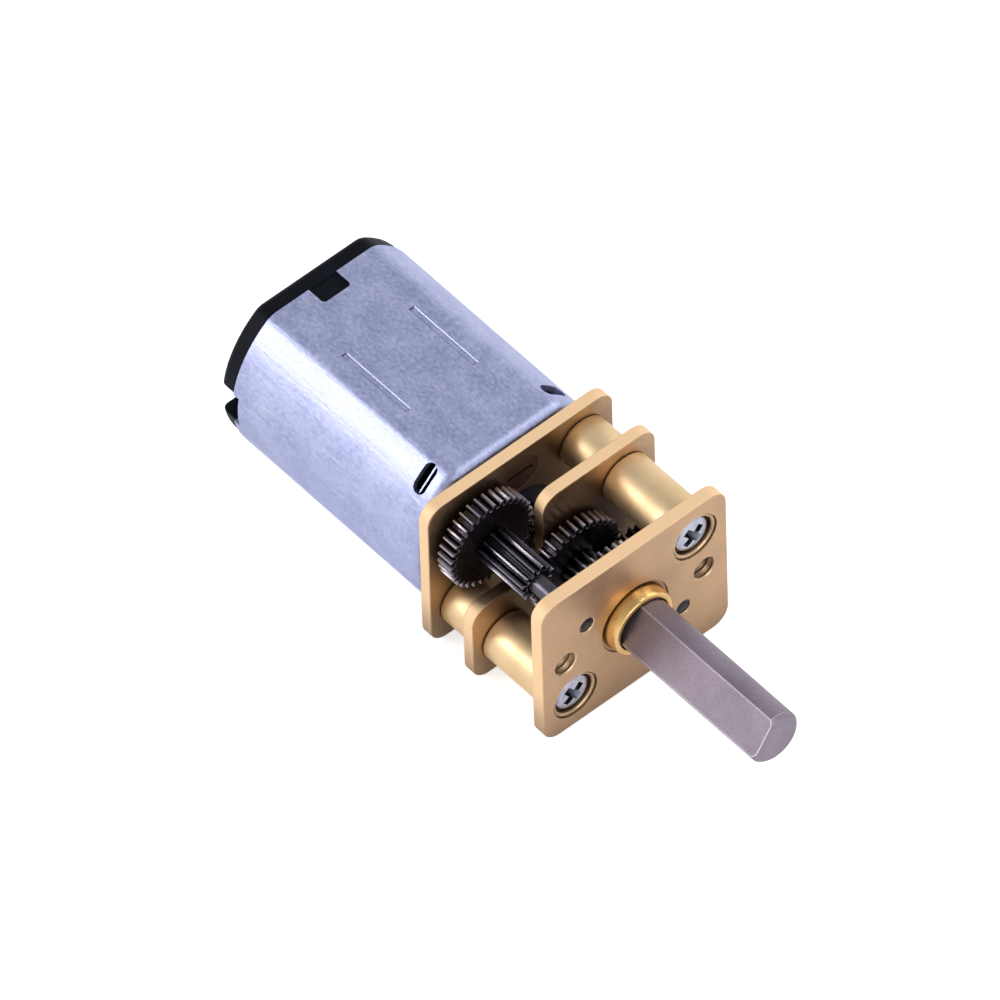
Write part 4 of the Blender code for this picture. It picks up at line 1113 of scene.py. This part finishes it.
def make_motor_can(materials):
    """The can with its holes, notches, vents and two pressed marks."""
    tools = [front_bearing_seat()]
    tools += [motor_screw_hole(side) for side in SPACERS]
    for side in (1, -1):
        tools += [top_notch(side), side_notch(side)]
        tools += [vent(side * angle) for angle in (VENT_ANGLE, math.pi - VENT_ANGLE)]
    tools += [pressed_mark(x) for x in MARK_X]
    can = cut(can_shell(), gathered(tools))
    bars = [vent_bar(side * angle) for angle in (VENT_ANGLE, math.pi - VENT_ANGLE) for side in (1, -1)]
    finish(joined(can, gathered(bars)), "motor_can", materials["can"], 30.0)


def cap_shell(front, face):
    """A cap with a rounded edge, hollow towards the motor, whose lip fits inside the can."""
    lip, seam, steps = can_outline(CAP_LIP_INSET), CAN_REAR + FACE_GAP, 5
    sections = [(front, lip), (seam, lip), (seam, can_outline(CAP_INSET))]
    for i in range(steps + 1):
        turn = RIGHT_ANGLE * i / steps
        sections.append((face - CAP_EDGE + CAP_EDGE * math.sin(turn),
                         can_outline(CAP_INSET + CAP_EDGE * (1.0 - math.cos(turn)))))
    inset, depth = CAP_HOLLOW
    hollow = can_outline(inset)
    return cut(loft(sections), loft([(front - PAST, hollow), (front + depth, hollow)]))


def cap_boss(front, rear):
    start = front + CAP_BOSS_START
    edge = [(rear - depth, CAN_BOSS_RADIUS - inset) for depth, inset in CAP_BOSS_EDGE]
    return lathe([(start, 0.0), (start, CAN_BOSS_RADIUS)] + edge + [(rear, 0.0)])


def rear_bearing_seat(front, rear):
    """The hole through the cap, wider where the bearing sits."""
    bearing_end = span("rear_bearing")[1] + FACE_GAP
    seat = half_width("rear_bearing") + SEAT_GAP
    return lathe([(front - PAST, 0.0), (front - PAST, seat), (bearing_end, seat),
                  (bearing_end, CAP_SHAFT_HOLE), (rear + PAST, CAP_SHAFT_HOLE), (rear + PAST, 0.0)])


def cap_tab(side):
    """A tab that fills a notch in the can."""
    half, front = TOP_NOTCH[0] - CLEARANCE, CAN_REAR - TOP_NOTCH[1] + CLEARANCE
    outline = rounded_rectangle(-half, half, front, CAN_REAR + TAB_LENGTH, NOTCH_CORNER)
    inside, outside = [CAN_HALF_HEIGHT - depth for depth in TAB_SPAN]
    return radial_prism(outline, inside, outside, side * RIGHT_ANGLE)


def make_end_cap(materials):
    front, rear = span("end_cap")
    face = CAN_REAR + CAP_THICKNESS
    cap = joined(cap_shell(front, face), cap_boss(front, rear))
    cap = cut(cap, rear_bearing_seat(front, rear))
    terminal_x, _ = centre("terminal_right")
    half_slot, slot_height = TERMINAL_SLOT
    notch_half, notch_length = SIDE_NOTCH
    for side in (1, -1):
        cap = joined(cap, cap_tab(side))
        notch_x = sorted((side * (CAN_RADIUS - CAP_NOTCH_DEPTH), side * (CAN_RADIUS + PAST)))
        notch_front = CAN_REAR - notch_length - CLEARANCE
        cap = cut(cap, box(*notch_x, notch_front, face + PAST, -notch_half, notch_half))
        slot_x = sorted((side * (terminal_x - half_slot), side * (terminal_x + half_slot)))
        cap = cut(cap, box(*slot_x, front, face + PAST, -slot_height, slot_height))
    finish(cap, "end_cap", materials["plastic"], 35.0, bevel=0.03)


# ---- pieces that keep their CAD shape ----

CAD_MATERIALS = {
    "bronze": "bronze", "magnet": "magnet", "copper": "copper", "laminations": "laminations",
    "spring_steel": "spring", "black_plastic": "plastic", "bright_steel": "pinion", "brass": "turned",
    "screw_steel": "motor_screw",
}


def paint_cad_pieces(materials):
    """Gives every CAD piece that is still shown its procedural material."""
    for node, obj in frame["nodes"].items():
        if not obj.hide_render:
            obj.data.materials.clear()
            obj.data.materials.append(materials[CAD_MATERIALS[SLOT_OF[node]]])


# ---- floor, light and camera ----

LIGHT_DISTANCE = 0.3  # metres, as are the sizes below
WARM, COOL = (1.0, 0.99, 0.97), (0.96, 0.97, 1.0)
SOFTBOXES = (
    # name, direction, size, power in watts, colour
    ("key", (-0.725, 0.487, 0.488), 0.12, 0.24, WARM),
    ("top", (0.40, -0.22, 0.89), 0.06, 0.07, WARM),
    ("front", (-0.15, -0.85, 0.45), 0.20, 0.25, WARM),
    ("right", (0.85, -0.10, 0.55), 0.16, 0.15, COOL),
)


def make_floor():
    """A pale floor that looks white to the camera without lighting the object as strongly."""
    half_size = 1.5  # metres
    glow, seen_glow = 0.17, 0.6
    nodes = Nodes("floor")
    grain = nodes.noise(0.05, detail=2.0)
    nodes.set("Base Color", nodes.mixed(grain, (0.86, 0.86, 0.88), (0.88, 0.88, 0.90)))
    nodes.set("Roughness", 0.9)
    nodes.set("Emission Color", (1.0, 1.0, 1.0, 1.0))
    seen_directly = nodes.add("LightPath").outputs["Is Camera Ray"]
    nodes.set("Emission Strength", nodes.between(seen_directly, 0.0, 1.0, glow, seen_glow))
    bm = bmesh.new()
    bmesh.ops.create_grid(bm, x_segments=1, y_segments=1, size=half_size)
    floor = add_object("floor", mesh_from(bm, "floor"))
    floor.data.materials.append(nodes.material)
    floor.location.z = cad_bounds[0].z - FLOOR_GAP * MM


def add_softbox(name, direction, size, power, colour):
    """A square soft light aimed at the object."""
    target = (cad_bounds[0] + cad_bounds[1]) / 2.0
    light = bpy.data.lights.new(name, "AREA")
    light.size = size
    light.energy = power
    light.color = colour
    obj = add_object(name, light)
    away = Vector(direction).normalized()
    obj.location = target + away * LIGHT_DISTANCE
    obj.rotation_mode = "QUATERNION"
    obj.rotation_quaternion = away.to_track_quat("Z", "Y")
    obj.visible_camera = False


def make_lights():
    for name, direction, size, power, colour in SOFTBOXES:
        add_softbox(name, direction, size, power, colour)


def make_world():
    """Surroundings that are pale up to the horizon and darken towards overhead."""
    low, overhead = (0.90, 0.91, 0.94, 1.0), (0.40, 0.42, 0.47, 1.0)
    world = bpy.data.worlds.new("studio")
    bpy.context.scene.world = world
    world.use_nodes = True
    tree = world.node_tree
    background = tree.nodes["Background"]
    coordinates = tree.nodes.new("ShaderNodeTexCoord")
    separate = tree.nodes.new("ShaderNodeSeparateXYZ")
    ramp = tree.nodes.new("ShaderNodeValToRGB")
    tree.links.new(coordinates.outputs["Generated"], separate.inputs["Vector"])
    tree.links.new(separate.outputs["Z"], ramp.inputs["Fac"])
    tree.links.new(ramp.outputs["Color"], background.inputs["Color"])
    ramp.color_ramp.elements[0].color = low
    ramp.color_ramp.elements[1].color = overhead
    background.inputs["Strength"].default_value = 1.0


def make_camera():
    """The view: 39.8 degrees to the left of the shaft and 50.7 degrees above it, with a long lens.
    """
    azimuth, elevation, roll = math.radians(-39.758), math.radians(50.664), math.radians(-1.797)
    distance, frame_width = 1500.0, 48.765
    shift_right, shift_up = -6.596, 5.669
    back = Vector((math.sin(azimuth) * math.cos(elevation), -math.cos(azimuth) * math.cos(elevation),
                   math.sin(elevation)))
    right = Vector((math.cos(azimuth), math.sin(azimuth), 0.0))
    up = back.cross(right)
    rolled_right = right * math.cos(roll) + up * math.sin(roll)
    rolled_up = up * math.cos(roll) - right * math.sin(roll)
    target = Vector((0.0, FACE, 0.0)) + rolled_right * shift_right + rolled_up * shift_up
    camera = bpy.data.cameras.new("camera")
    camera.lens = camera.sensor_width * distance / frame_width
    camera.clip_start, camera.clip_end = 0.1, 20.0  # metres
    obj = add_object("camera", camera)
    obj.rotation_mode = "QUATERNION"
    obj.rotation_quaternion = Matrix((rolled_right, rolled_up, back)).transposed().to_quaternion()
    obj.location = (target + back * distance) * MM + Vector((SHAFT_X, 0.0, SHAFT_Z))
    bpy.context.scene.camera = obj
    bpy.context.scene.view_settings.view_transform = "Standard"


def main():
    materials = make_materials()
    make_front_plate(materials)
    make_middle_plate(materials)
    make_rear_plate(materials)
    for side in SPACERS:
        make_spacer("front_spacer_" + side, materials)
        make_spacer("rear_spacer_" + side, materials)
        make_gearbox_screw("gearbox_screw_" + side, materials)
    make_output_bush(materials)
    make_gears(materials)
    make_output_shaft(materials)
    make_motor_can(materials)
    make_end_cap(materials)
    paint_cad_pieces(materials)
    make_floor()
    make_lights()
    make_world()
    make_camera()


main()
